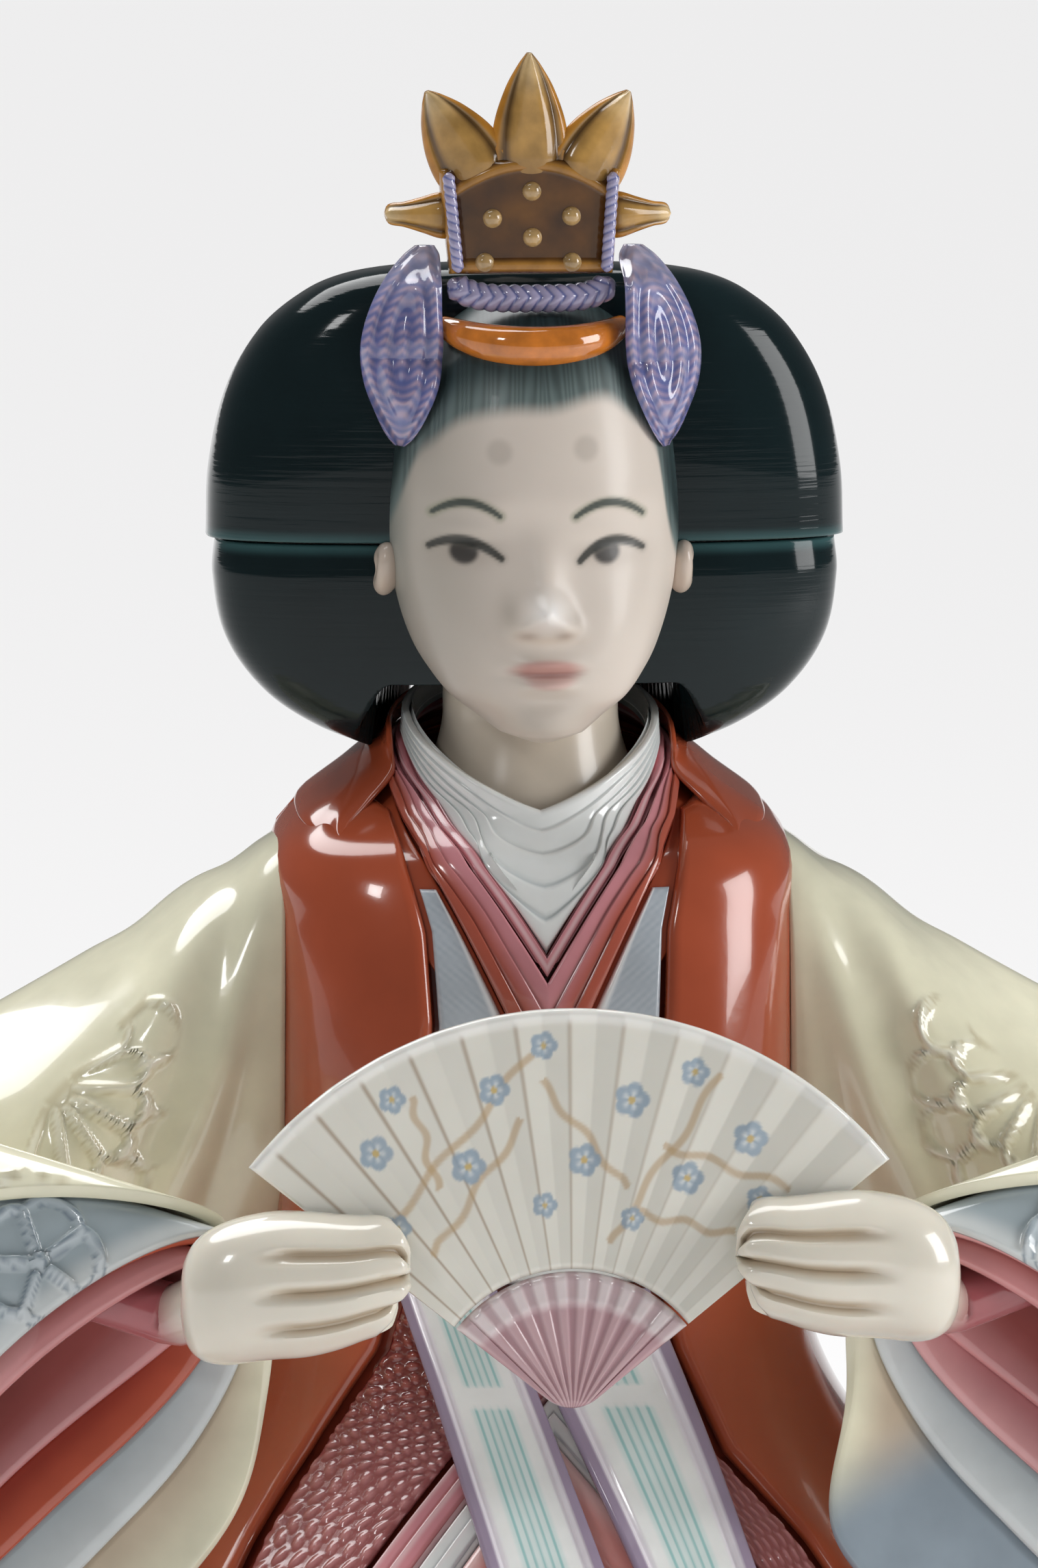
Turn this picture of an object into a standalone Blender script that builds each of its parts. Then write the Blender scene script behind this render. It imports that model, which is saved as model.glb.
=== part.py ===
# A seated porcelain court doll in layered robes, with a turning head, a crown that lifts off
# and a fan that lifts out of the hands.
# Metres, +Z up. The doll faces -Y, and the origin is the middle of the underside.
import math

import bmesh
import bpy
from mathutils import Euler, Matrix, Vector

# Clearances
SEAT_GAP = 0.0003
LAYER_GAP = 0.0006
EDGE_GAP = 0.0007
HEM_EDGE_GAP = 0.0014
HEM_LIFT = 0.0010
SASH_LIFT = 0.0009
TRAIN_LIFT = 0.0010
CUT_OVERRUN = 0.012

# The robes as a whole: height of the lap, spread of the skirts and their reach front and back
LAP_HEIGHT = 0.100
KNEE_HALF_WIDTH = 0.100
HEM_REACH = 0.100
HEM_CLEARANCE = 0.006

# Cloth thicknesses of the layers that show
COAT_THICKNESS = 0.0024
COLLAR_THICKNESS = 0.0014
COLLAR_STEP = 0.0005
LAPEL_THICKNESS = 0.0018
HEM_THICKNESS = 0.0012
SASH_THICKNESS = 0.0016
TRAIN_THICKNESS = 0.0018
SLEEVE_WALL = 0.0018
CUFF_WALL = 0.0012
CUFF_GAP = 0.0006

# Head and neck: the neck stands on the robes, and the head on the neck
NECK_RADIUS = 0.0118
NECK_PLUG_RADIUS = 0.0082
NECK_PLUG_LENGTH = 0.014
NECK_SEAT_SHARE = 1.74
NECK_LENGTH = 0.0130
NECK_SEAT_HEIGHT = LAP_HEIGHT * NECK_SEAT_SHARE
CHIN_HEIGHT = NECK_SEAT_HEIGHT + NECK_LENGTH
HEAD_HEIGHT = 0.0630
FACE_HALF_WIDTH = 0.0214
FACE_DEPTH = 0.0286
SKULL_BACK = 0.0240
NOSE_LENGTH = 0.0130
NOSE_WIDTH = 0.0084
NOSE_REACH = 0.0052
EAR_HEIGHT = 0.0110
EAR_THICKNESS = 0.0050

# Hair: it hangs below the chin, and leaves room round the collars
HAIR_HALF_WIDTH = 0.0468
HAIR_RISE = 0.0085
HAIR_HEIGHT = HEAD_HEIGHT + HAIR_RISE
HAIR_DROP = 0.0050
HAIR_BASE_HEIGHT = CHIN_HEIGHT - HAIR_DROP
HAIR_FRONT = 0.0075
HAIR_BACK = 0.0295
NAPE_REACH_SHARE = 0.190
NAPE_CLEARANCE = 0.0022
NAPE_RADIUS = KNEE_HALF_WIDTH * NAPE_REACH_SHARE + LAYER_GAP + COLLAR_THICKNESS + NAPE_CLEARANCE
NAPE_TOP_SHARE = 1.958
NAPE_HEIGHT = LAP_HEIGHT * NAPE_TOP_SHARE
NAPE_NOTCH_HALF_WIDTH = 0.0165
TAIL_THICKNESS = 0.0048
TAIL_HALF_WIDTH = 0.0085
TIE_HEIGHT = 0.0080
TIE_WRAP = 0.0016

# Head band and crown: the crown sits just under the top of the hair, and the band below it
CROWN_SINK = 0.0007
CROWN_BASE_HEIGHT = HAIR_BASE_HEIGHT + HAIR_HEIGHT - CROWN_SINK
BAND_DROP = 0.0100
BAND_HEIGHT = CROWN_BASE_HEIGHT - BAND_DROP
BAND_HALF_WIDTH = 0.0155
BAND_REACH = 0.0200
BAND_OFFSET = 0.0006
BAND_HALF_HEIGHT = 0.0029
BAND_HALF_DEPTH = 0.0026
CROWN_PLATE_THICKNESS = 0.0030
CROWN_HALF_WIDTH = 0.0118
CROWN_BODY_HEIGHT = 0.0150
CROWN_LEAF_LENGTH = 0.0200
CROWN_LEAF_WIDTH = 0.0088
CROWN_SPIKE_LENGTH = 0.0100
CROWN_SPIKE_WIDTH = 0.0066
CROWN_BEND_RADIUS = 0.0300
CROWN_FRONT = 0.0145
STUD_RADIUS = 0.0014
CORD_ROLL_RADIUS = 0.0027
SIDE_CORD_RADIUS = 0.0008
LOOP_HEIGHT = 0.0288
LOOP_HALF_WIDTH = 0.0058
LOOP_THICKNESS = 0.0042
LOOP_RISE = 0.0040
LOOP_TOP_HEIGHT = CROWN_BASE_HEIGHT + LOOP_RISE
LOOP_ACROSS = 0.0188
LOOP_TOP_FORWARD = 0.0080

# Fan
FAN_RADIUS = 0.0570
FAN_HALF_SPREAD = math.radians(51.5)
FAN_ROOT_RADIUS = 0.0205
FAN_CORNER_RADIUS = 0.0054
FAN_LEAF_THICKNESS = 0.0014
FAN_ROOT_THICKNESS = 0.0030
FAN_PLEAT_DEPTH = 0.0009
FAN_PLEATS = 13
FAN_APEX_RISE_SHARE = 0.976
FAN_APEX_REACH_SHARE = 0.720
FAN_APEX_HEIGHT = LAP_HEIGHT * FAN_APEX_RISE_SHARE
FAN_APEX_FORWARD = HEM_REACH * FAN_APEX_REACH_SHARE
FAN_LEAN = math.radians(6.2)
FAN_SLOT_CLEARANCE = 0.0004

# Hands
HAND_LENGTH = 0.0300
HAND_HALF_HEIGHT = 0.0102
HAND_HALF_DEPTH = 0.0082
FOREARM_RADIUS = 0.0044
FINGER_GROOVE = 0.0008

# Points round each closed outline
ROBE_POINTS = 32
SLEEVE_POINTS = 22
HEAD_POINTS = 26
HAIR_POINTS = 30
HAND_POINTS = 24
ROPE_SIDES = 8
LOOP_POINTS = 12

# Glaze colours
CREAM = (0.78, 0.72, 0.46)
COAT_RED = (0.42, 0.055, 0.022)
DARK_RED = (0.22, 0.03, 0.025)
PINK = (0.62, 0.20, 0.24)
CORAL = (0.66, 0.26, 0.24)
WHITE = (0.80, 0.80, 0.77)
GREY_BLUE = (0.42, 0.45, 0.52)
SKIN = (0.78, 0.70, 0.64)
HAIR_BLACK = (0.012, 0.028, 0.030)
GOLD_GLAZE = (0.40, 0.17, 0.03)
BAND_ORANGE = (0.52, 0.14, 0.02)
CORD_PURPLE = (0.24, 0.22, 0.46)
ROOT_PINK = (0.62, 0.34, 0.38)

# The robe's outline, ring by ring: height share of the lap height, half-width share of the knee
# half-width, front and back shares of the hem reach, neckline tilt share, and squareness
ROBE_SHARES = (
    (0.00, 1.160, 0.910, 1.020, 0.000, 2.6),
    (0.12, 1.170, 0.920, 1.040, 0.000, 2.6),
    (0.35, 0.980, 0.850, 0.890, 0.000, 2.5),
    (0.60, 0.700, 0.635, 0.590, 0.000, 2.4),
    (0.80, 0.480, 0.460, 0.415, 0.000, 2.5),
    (0.98, 0.380, 0.360, 0.320, 0.000, 2.8),
    (1.20, 0.350, 0.320, 0.280, 0.000, 3.0),
    (1.45, 0.350, 0.290, 0.270, 0.000, 3.0),
    (1.60, 0.352, 0.260, 0.265, 0.008, 3.0),
    (1.70, 0.342, 0.225, 0.245, 0.028, 2.9),
    (1.76, 0.248, 0.188, 0.212, 0.050, 2.5),
    (1.80, 0.188, 0.170, 0.182, 0.060, 2.1),
    (1.84, 0.168, 0.165, 0.168, 0.062, 2.0),
    (1.92, 0.162, 0.162, 0.162, 0.062, 2.0),
)
ROBE_TOP_SHARE = 1.80
ROW_SHARES = (0.05, 0.12, 0.22, 0.35, 0.48, 0.60, 0.73, 0.85, 0.92, 1.00, 1.10, 1.28, 1.46,
              1.60, 1.68, 1.73, 1.76)

# The coat's front opening: level share, then how far each inner edge stands from the middle
COAT_EDGE_SHARES = (
    (0.05, 0.86, 0.86),
    (0.35, 0.66, 0.63),
    (0.60, 0.50, 0.44),
    (0.73, 0.42, 0.35),
    (0.85, 0.335, 0.24),
    (1.00, 0.238, 0.172),
    (1.10, 0.210, 0.153),
    (1.46, 0.160, 0.166),
    (1.60, 0.168, 0.172),
    (1.80, 0.215, 0.210),
)
COAT_TOP_SHARE = 1.770
COAT_HEM_SHARE = 0.02
COAT_SEAM_TURN = math.radians(100)

# Collar edges at the middle of the front, at the side of the neck and at the nape
COLLAR_SHARES = {
    "collar_white": ((1.820, 1.885, 1.875), (1.566, 1.845, 1.835), 0),
    "collar_pink": ((1.558, 1.838, 1.828), (1.530, 1.822, 1.812), 1),
    "collar_red": ((1.522, 1.815, 1.805), (1.350, 1.788, 1.785), 2),
}
LAPEL_TOP_SHARE = 1.66
SASH_TOP_SHARE = 1.165
SASH_FOOT_SHARE = 1.095

# The hems that open like an inverted V under the sash ends: level of the upper and lower edge at
# the middle, the fall of each edge going outwards, rows and glaze
HEM_SHARES = (
    ("hem_pink", 1.008, 0.950, 1.14, 1.14, 2, PINK),
    ("hem_white", 0.938, 0.885, 1.14, 1.14, 2, WHITE),
)
# The lowest hem: its level at the middle, its fall going outwards, its foot and its reach
UNDER_APEX_SHARE = 0.873
UNDER_FALL_SHARE = 1.14
UNDER_FOOT_SHARE = 0.120
UNDER_REACH_SHARE = 0.64
HEM_STOP_SHARE = 0.120
# The brocade between the coat's edges and the first hem: the levels of its outer and inner edges
# from the middle outwards, and how much of the coat's edge each outer point has reached
BROCADE_APEX_SHARE = 1.020
BROCADE_FALL_SHARE = 1.14
BROCADE_OUTER_SHARES = ((1.085, 0.0), (1.085, 0.5), (1.085, 1.0), (1.00, 1.0), (0.92, 1.0),
                        (0.85, 1.0), (0.73, 1.0), (0.60, 1.0), (0.48, 1.0), (0.35, 1.0),
                        (0.22, 1.0), (0.13, 1.0))
BROCADE_INNER_SHARES = (1.020, 0.995, 0.965, 0.92, 0.87, 0.82, 0.72, 0.60, 0.48, 0.35, 0.22, 0.13)

# Sash ends: the level each starts at, the two edges there, and how each edge drifts going down
SASH_END_SHARES = (
    ("sash_left", -0.205, 0.258, -0.076, 0.345),
    ("sash_right", -0.070, 0.430, 0.134, 0.330),
)
SASH_END_TOP_SHARE = 1.088
SASH_END_FOOT_SHARE = 0.30

# Train panel at the back and the tied hair on it
TRAIN_TOP_SHARE = 1.14
TRAIN_FOOT_SHARE = 0.02
TRAIN_TOP_WIDTH_SHARE = 0.24
TRAIN_FOOT_WIDTH_SHARE = 0.62
TAIL_TOP_SHARE = 1.885
TAIL_FOOT_SHARE = 0.62
TIE_SHARE = 1.36

# Sleeve rings: top end, middle and bottom end of each ring, then its half-thickness, as shares
# of the knee half-width, the hem reach and the lap height
SLEEVE_SHARES = (
    ((0.36, 0.02, 1.715), (0.36, 0.02, 1.43), (0.36, 0.02, 1.10), (0.00, 0.17, 0.00)),
    ((0.57, 0.00, 1.560), (0.64, -0.01, 1.25), (0.72, -0.01, 0.86), (0.04, 0.20, 0.02)),
    ((0.79, -0.06, 1.405), (0.89, -0.085, 1.08), (0.97, -0.10, 0.68), (0.11, 0.185, 0.05)),
    ((0.95, -0.22, 1.320), (1.055, -0.255, 0.95), (1.12, -0.28, 0.55), (0.185, 0.055, 0.07)),
    ((0.80, -0.43, 1.320), (0.985, -0.46, 0.96), (1.09, -0.45, 0.54), (0.115, -0.10, 0.10)),
    ((0.38, -0.57, 1.180), (0.77, -0.535, 0.93), (1.02, -0.49, 0.56), (0.00, -0.098, 0.120)),
    ((0.26, -0.62, 1.110), (0.53, -0.627, 0.83), (0.80, -0.59, 0.46), (0.00, -0.090, 0.120)),
)
SLEEVE_SQUARENESS = 2.8
# Where each layer of the sleeve ends along the arm: at the top, front, bottom and rear of the rim
LAYER_END_SHARES = {
    "cream": (4.78, 4.10, 4.25, 6.00),
    "grey": (4.86, 4.86, 4.90, 5.60),
    "red": (4.84, 4.82, 4.85, 5.30),
    "pink": (4.92, 4.95, 5.00, 5.00),
}
LAYER_ROW_SHARES = (0.0, 0.35, 0.7, 1.0)
HOLLOW_OVERRUN_SHARE = 1.4
CUFF_FLOOR_SHARE = 3.90
SOCKET_FLOOR_SHARE = 3.70
FOREARM_STOP_SHARE = 3.72

# Hand rings from the finger tips to the heel: place along the hand, centre forward and up,
# half-height and half-depth, as shares of the hand's own sizes
HAND_SHARES = (
    (0.000, -0.722, 1.178, 0.50, 0.40),
    (0.030, -0.722, 1.179, 0.74, 0.66),
    (0.180, -0.720, 1.176, 0.86, 0.86),
    (0.420, -0.712, 1.170, 0.99, 0.96),
    (0.660, -0.704, 1.168, 1.00, 0.96),
    (0.820, -0.702, 1.166, 0.95, 0.88),
    (0.930, -0.700, 1.164, 0.78, 0.70),
    (0.985, -0.700, 1.162, 0.50, 0.46),
    (1.000, -0.700, 1.162, 0.20, 0.20),
)
# The forearm from the palm into the sleeve: the palm's place, then along the sleeve and up it
PALM_SHARES = (0.45, -0.665, 1.155)
FOREARM_SHARES = ((5.0, 0.62), (4.5, 0.62), (4.0, 0.60), (3.5, 0.55))
FINGER_TIP_SHARE = 0.242
RIGHT_HAND_RISE_SHARE = 0.018

# Head rings from the chin up: height, half-width, front and back
HEAD_SHARES = (
    (0.000, 0.14, 0.857, -0.667),
    (0.016, 0.28, 0.916, -0.500),
    (0.048, 0.435, 0.951, -0.167),
    (0.088, 0.60, 0.990, 0.083),
    (0.152, 0.75, 1.000, 0.417),
    (0.200, 0.83, 0.993, 0.625),
    (0.280, 0.916, 0.965, 0.790),
    (0.376, 0.98, 0.937, 0.917),
    (0.472, 1.00, 0.916, 0.980),
    (0.568, 0.986, 0.916, 1.000),
    (0.680, 0.95, 0.874, 0.980),
    (0.792, 0.874, 0.797, 0.917),
    (0.888, 0.724, 0.664, 0.790),
    (0.960, 0.49, 0.472, 0.583),
    (1.000, 0.21, 0.245, 0.290),
)
HEAD_SQUARENESS = 2.15

# Hair rings from the nape up, in two lobes: height, half-width, front and back
HAIR_LOWER_SHARES = (
    (0.000, 0.438, 0.27, 0.34),
    (0.056, 0.662, 0.67, 0.58),
    (0.126, 0.823, 0.80, 0.73),
    (0.232, 0.940, 0.87, 0.85),
    (0.360, 0.980, 0.90, 0.92),
    (0.436, 0.972, 0.84, 0.94),
)
HAIR_UPPER_SHARES = (
    (0.441, 1.000, 1.00, 0.98),
    (0.585, 0.990, 1.00, 1.00),
    (0.741, 0.934, 0.93, 0.966),
    (0.860, 0.830, 0.86, 0.90),
    (0.930, 0.710, 0.75, 0.79),
    (0.972, 0.580, 0.58, 0.65),
    (0.994, 0.400, 0.27, 0.46),
    (1.000, 0.200, -0.30, 0.30),
)
HAIR_SQUARENESS = 3.0
HAIR_PARTING_SHARE = 0.4385

# The crown's leaves: lean from upright, root beside the middle, and length as a share
CROWN_LEAF_SHARES = ((-31, -0.50, 0.84), (0, 0.0, 1.0), (31, 0.50, 0.84))
CROWN_STUD_SHARES = ((0.0, 0.80), (-0.48, 0.54), (0.48, 0.56), (0.0, 0.36), (-0.58, 0.12),
                     (0.48, 0.12))

# The folded cord at each temple from its top down: level, place across, half-width, thickness
LOOP_SHARES = (
    (0.00, 0.80, 0.24, 0.45),
    (0.05, 0.83, 0.46, 0.68),
    (0.16, 0.90, 0.68, 0.82),
    (0.32, 0.965, 0.88, 0.95),
    (0.50, 1.000, 1.00, 1.00),
    (0.68, 1.010, 0.90, 0.98),
    (0.84, 1.015, 0.60, 0.86),
    (0.95, 1.020, 0.32, 0.62),
    (1.00, 1.020, 0.12, 0.35),
)
NECK_TOP_SHARE = 0.30
NOSE_SHARE = 0.315
NOSE_ROOT_SHARE = 0.985
NOSE_TILT = math.radians(-14)
EAR_PLACE_SHARES = (1.02, 0.045, 0.365)
BAND_HALF_SPREAD = math.radians(62)
BAND_RISE = 0.0030
BAND_TAPER_SHARE = 0.90
CROWN_LEAN = -0.014
CROWN_BLADE_SHARES = ((0.0, 0.80), (0.25, 1.0), (0.50, 0.92), (0.75, 0.62), (0.92, 0.28),
                      (1.0, 0.06))
CROWN_FLARE_SHARE = 0.12
CROWN_ARCH_SHARE = 0.12
CROWN_LEAF_ROOT_SHARE = 0.78
CROWN_RIDGE_SHARE = 0.08
CROWN_SPIKE_ROOT_SHARE = 0.90
CROWN_SPIKE_RISE_SHARE = 0.56
CROWN_SPIKE_LEAN = math.radians(88)
SIDE_CORD_SHARES = (0.02, 0.98)
SIDE_CORD_PLACE_SHARE = 0.90
FINGER_ROOT_SHARE = 0.60

# A small turn of each ball before it is stretched, so its corners miss those of its neighbours
OVAL_SPIN = Euler((0.37, 0.23, 0.51)).to_matrix()

objects = {}


def material(name, colour, roughness=0.12):
    glaze = bpy.data.materials.new(name)
    glaze.use_nodes = True
    shader = glaze.node_tree.nodes["Principled BSDF"]
    shader.inputs["Base Color"].default_value = (*colour, 1.0)
    shader.inputs["Roughness"].default_value = roughness
    shader.inputs["Metallic"].default_value = 0.0
    return glaze


def solid(name, points, faces, colour=None):
    mesh = bpy.data.meshes.new(name)
    mesh.from_pydata([tuple(point) for point in points], [], faces)
    shape = bmesh.new()
    shape.from_mesh(mesh)
    bmesh.ops.recalc_face_normals(shape, faces=shape.faces)
    shape.to_mesh(mesh)
    shape.free()
    item = bpy.data.objects.new(name, mesh)
    bpy.context.scene.collection.objects.link(item)
    if colour is None:
        item.hide_render = True
        item.display_type = "WIRE"
        return item
    mesh.materials.append(material(name, colour))
    mesh.shade_smooth()
    mesh.set_sharp_from_angle(angle=math.radians(35))
    objects[name] = item
    return item


def loft(name, rings, colour=None):
    """A closed solid through rings of equal point counts, each end closed on its own centre."""
    count = len(rings[0])
    points = [point for ring in rings for point in ring]
    faces = []
    for row in range(len(rings) - 1):
        for k in range(count):
            following = (k + 1) % count
            first, second = row * count, (row + 1) * count
            faces.append((first + k, first + following, second + following))
            faces.append((first + k, second + following, second + k))
    for start, ring in ((0, rings[0]), ((len(rings) - 1) * count, rings[-1])):
        points.append(sum(ring, Vector()) / count)
        hub = len(points) - 1
        faces += [(start + k, start + (k + 1) % count, hub) for k in range(count)]
    return solid(name, points, faces, colour)


def slab(name, spot, across, along, near, far, colour, closed=False):
    """A closed slab over a grid of shares, between two distances from the surface under it."""
    columns = [k / across for k in range(across if closed else across + 1)]
    rows = [k / along for k in range(along + 1)]
    width = len(columns)
    inner = [spot(s, t, near) for t in rows for s in columns]
    outer = [spot(s, t, far) for t in rows for s in columns]
    half = len(inner)
    faces = []
    steps = width if closed else width - 1
    for row in range(along):
        for k in range(steps):
            a, b = row * width + k, row * width + (k + 1) % width
            c, d = b + width, a + width
            faces += [(a, b, c, d), (half + a, half + b, half + c, half + d)]
    for k in range(steps):
        for base in (0, along * width):
            a, b = base + k, base + (k + 1) % width
            faces.append((a, b, half + b, half + a))
    if not closed:
        for row in range(along):
            for edge in (0, width - 1):
                a = row * width + edge
                faces.append((a, a + width, half + a + width, half + a))
    return solid(name, inner + outer, faces, colour)


def tube(name, path, radii, sides, colour, closed=False, upright=Vector((0, 0, 1))):
    """A rope or roll along points, with a half-width and a half-height for each point."""
    rings = []
    count = len(path)
    for k, point in enumerate(path):
        ahead = path[(k + 1) % count] if closed or k + 1 < count else point
        behind = path[k - 1] if closed or k else point
        run = (ahead - behind).normalized()
        side = run.cross(upright).normalized()
        rise = side.cross(run).normalized()
        wide, tall = radii[k]
        angles = [math.tau * i / sides for i in range(sides)]
        rings.append([point + side * wide * math.cos(a) + rise * tall * math.sin(a)
                      for a in angles])
    if not closed:
        return loft(name, rings, colour)
    points = [point for ring in rings for point in ring]
    faces = []
    for row in range(count):
        for k in range(sides):
            first, second = row * sides, (row + 1) % count * sides
            following = (k + 1) % sides
            faces.append((first + k, first + following, second + following, second + k))
    return solid(name, points, faces, colour)


def combine(target, other, operation):
    step = target.modifiers.new(other.name, "BOOLEAN")
    step.operation = operation
    step.object = other
    step.solver = "EXACT"


def row_at(table, level):
    """One row of a table at any level, on a smooth curve through its rows."""
    last = len(table) - 1
    k = next((i for i in range(last) if level <= table[i + 1][0]), last - 1)
    low, high = table[k], table[k + 1]
    span = high[0] - low[0]
    t = (level - low[0]) / span
    before = table[max(k - 1, 0)]
    after = table[min(k + 2, last)]
    values = []
    for c in range(1, len(low)):
        leaving = (high[c] - before[c]) / (high[0] - before[0]) * span
        arriving = (after[c] - low[c]) / (after[0] - low[0]) * span
        values.append((2 * t ** 3 - 3 * t ** 2 + 1) * low[c] + (t ** 3 - 2 * t ** 2 + t) * leaving
                      + (3 * t ** 2 - 2 * t ** 3) * high[c] + (t ** 3 - t ** 2) * arriving)
    return values


def power(value, exponent):
    return math.copysign(abs(value) ** exponent, value)


def robe_plain(turn, level):
    """A point on the robe's own surface; turn 0 faces front and grows towards +X."""
    wide, front, back, tilt, square = row_at(ROBE_SHARES, level)
    across = power(math.sin(turn), 2 / square)
    ahead = power(math.cos(turn), 2 / square)
    middle, half_depth = (back - front) / 2, (back + front) / 2
    return Vector((wide * across * KNEE_HALF_WIDTH,
                   (middle - half_depth * ahead) * HEM_REACH,
                   (level - tilt * ahead) * LAP_HEIGHT))


def robe_point(turn, level, lift=0.0):
    """The same point carried outwards, square to the surface, by a real distance."""
    point = robe_plain(turn, level)
    if lift == 0.0:
        return point
    nudge_share = 0.004
    sideways = robe_plain(turn + nudge_share, level) - robe_plain(turn - nudge_share, level)
    upwards = robe_plain(turn, level + nudge_share) - robe_plain(turn, level - nudge_share)
    return point + sideways.cross(upwards).normalized() * lift


def turn_at(across_share, level):
    """The turn at which the robe stands a given share of the knee half-width from the middle."""
    wide, _, _, _, square = row_at(ROBE_SHARES, level)
    share = min(abs(across_share) / wide, 1.0)
    return math.copysign(math.asin(share ** (square / 2)), across_share)


def coat_edge(level, side):
    """How far the coat's front edge stands from the middle, on the left (-1) or right (1)."""
    last = len(COAT_EDGE_SHARES) - 1
    k = next((i for i in range(last) if level <= COAT_EDGE_SHARES[i + 1][0]), last - 1)
    low, high = COAT_EDGE_SHARES[k], COAT_EDGE_SHARES[k + 1]
    part = (level - low[0]) / (high[0] - low[0])
    column = 2 if side > 0 else 1
    return side * (low[column] + (high[column] - low[column]) * part)


def spread(values, share):
    """A value part of the way along a list, by straight steps."""
    place = share * (len(values) - 1)
    k = min(int(place), len(values) - 2)
    return values[k] + (values[k + 1] - values[k]) * (place - k)


def robe_levels(foot, top):
    inside = [level for level in ROW_SHARES if foot < level < top]
    return [foot] + inside + [top]


def build_robe_body():
    levels = robe_levels(0.0, ROBE_TOP_SHARE)
    turns = [math.tau * k / ROBE_POINTS for k in range(ROBE_POINTS)]
    rings = [[robe_point(turn, level) for turn in turns] for level in levels]
    for point in (point for ring in rings for point in ring):
        point.z = min(point.z, NECK_SEAT_HEIGHT)
    body = loft("robe_body", rings, DARK_RED)
    socket_radius = NECK_PLUG_RADIUS + SEAT_GAP
    socket_foot = NECK_SEAT_HEIGHT - NECK_PLUG_LENGTH - SEAT_GAP
    combine(body, round_bar("neck_socket", socket_radius, socket_foot,
                            NECK_SEAT_HEIGHT + CUT_OVERRUN), "DIFFERENCE")


def round_bar(name, radius, foot, top, colour=None):
    rings = []
    for height in (foot, top):
        rings.append([Vector((radius * math.cos(math.tau * k / HEAD_POINTS),
                              radius * math.sin(math.tau * k / HEAD_POINTS), height))
                      for k in range(HEAD_POINTS)])
    return loft(name, rings, colour)


def build_coat():
    levels = robe_levels(COAT_HEM_SHARE, COAT_TOP_SHARE)
    near, far = LAYER_GAP, LAYER_GAP + COAT_THICKNESS
    rows = len(levels) - 1
    for name, side in (("coat_left", -1), ("coat_right", 1)):
        def front(s, t, lift, side=side):
            level = spread(levels, t)
            inner = turn_at(coat_edge(level, side), level)
            return robe_point(inner + (side * COAT_SEAM_TURN - inner) * s, level, lift)
        slab(name, front, 9, rows, near, far, COAT_RED)

    def back(s, t, lift):
        level = spread(levels, t)
        wide = row_at(ROBE_SHARES, level)[0] * KNEE_HALF_WIDTH
        seam = COAT_SEAM_TURN + EDGE_GAP / wide
        return robe_point(seam + (math.tau - 2 * seam) * s, level, lift)
    slab("coat_back", back, 14, rows, near, far, COAT_RED)


def collar_turn(place, edge):
    """Turn and level on a collar's edge; place runs 0 at the front, 1 at a side, 2 at the nape."""
    middle, beside, nape = edge
    away = abs(place)
    if away > 1:
        level = beside + (nape - beside) * (away - 1)
        return math.copysign(math.pi / 2 * away, place), level
    level = middle + (beside - middle) * away
    reach = row_at(ROBE_SHARES, beside)[0] * away
    return math.copysign(turn_at(reach, level), place), level


def build_collars():
    for name, (upper, lower, order) in COLLAR_SHARES.items():
        colour = {"collar_white": WHITE, "collar_pink": PINK, "collar_red": COAT_RED}[name]

        def band(s, t, lift, upper=upper, lower=lower):
            place = -2 + 4 * s
            turn_a, level_a = collar_turn(place, upper)
            turn_b, level_b = collar_turn(place, lower)
            return robe_point(turn_a + (turn_b - turn_a) * t, level_a + (level_b - level_a) * t,
                              lift)
        far = LAYER_GAP + COLLAR_THICKNESS + COLLAR_STEP * order
        slab(name, band, 28, 1 if order == 1 else 3, LAYER_GAP, far, colour, closed=True)


def build_lapels():
    _, lower, _ = COLLAR_SHARES["collar_red"]
    middle, beside, _ = lower
    reach = row_at(ROBE_SHARES, beside)[0]
    gap = EDGE_GAP / KNEE_HALF_WIDTH

    def inner_edge(level):
        return max((level - middle) / (beside - middle) * reach, 0.0) + gap
    for name, side in (("lapel_left", -1), ("lapel_right", 1)):
        def panel(s, t, lift, side=side):
            level = SASH_TOP_SHARE + gap + (LAPEL_TOP_SHARE - SASH_TOP_SHARE) * t
            outer = abs(coat_edge(level, side)) - gap
            inner = min(inner_edge(level), outer - gap)
            return robe_point(turn_at(side * (inner + (outer - inner) * s), level), level, lift)
        slab(name, panel, 4, 10, LAYER_GAP, LAYER_GAP + LAPEL_THICKNESS, GREY_BLUE)


def hem_reach(side, apex, slope):
    """Where a sloping hem line runs into the coat's edge, found by halving."""
    near, far = 0.0, 1.0
    for _ in range(30):
        middle = (near + far) / 2
        level = apex - slope * middle
        inside = level > HEM_STOP_SHARE and middle < abs(coat_edge(level, side))
        near, far = (middle, far) if inside else (near, middle)
    return near


def hem_band(name, apexes, slopes, columns, rows, colour):
    """A layer between two sloping lines that mirror about the middle of the front."""
    gap = HEM_EDGE_GAP / KNEE_HALF_WIDTH

    def spot(s, t, lift):
        side = -1 if s < 0.5 else 1
        apex = apexes[0] + (apexes[1] - apexes[0]) * t
        slope = slopes[0] + (slopes[1] - slopes[0]) * t
        across = abs(2 * s - 1) * (hem_reach(side, apex, slope) - gap)
        level = apex - slope * across
        return robe_point(turn_at(side * across, level), level, lift)
    slab(name, spot, columns, rows, HEM_LIFT, HEM_LIFT + HEM_THICKNESS, colour)


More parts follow.
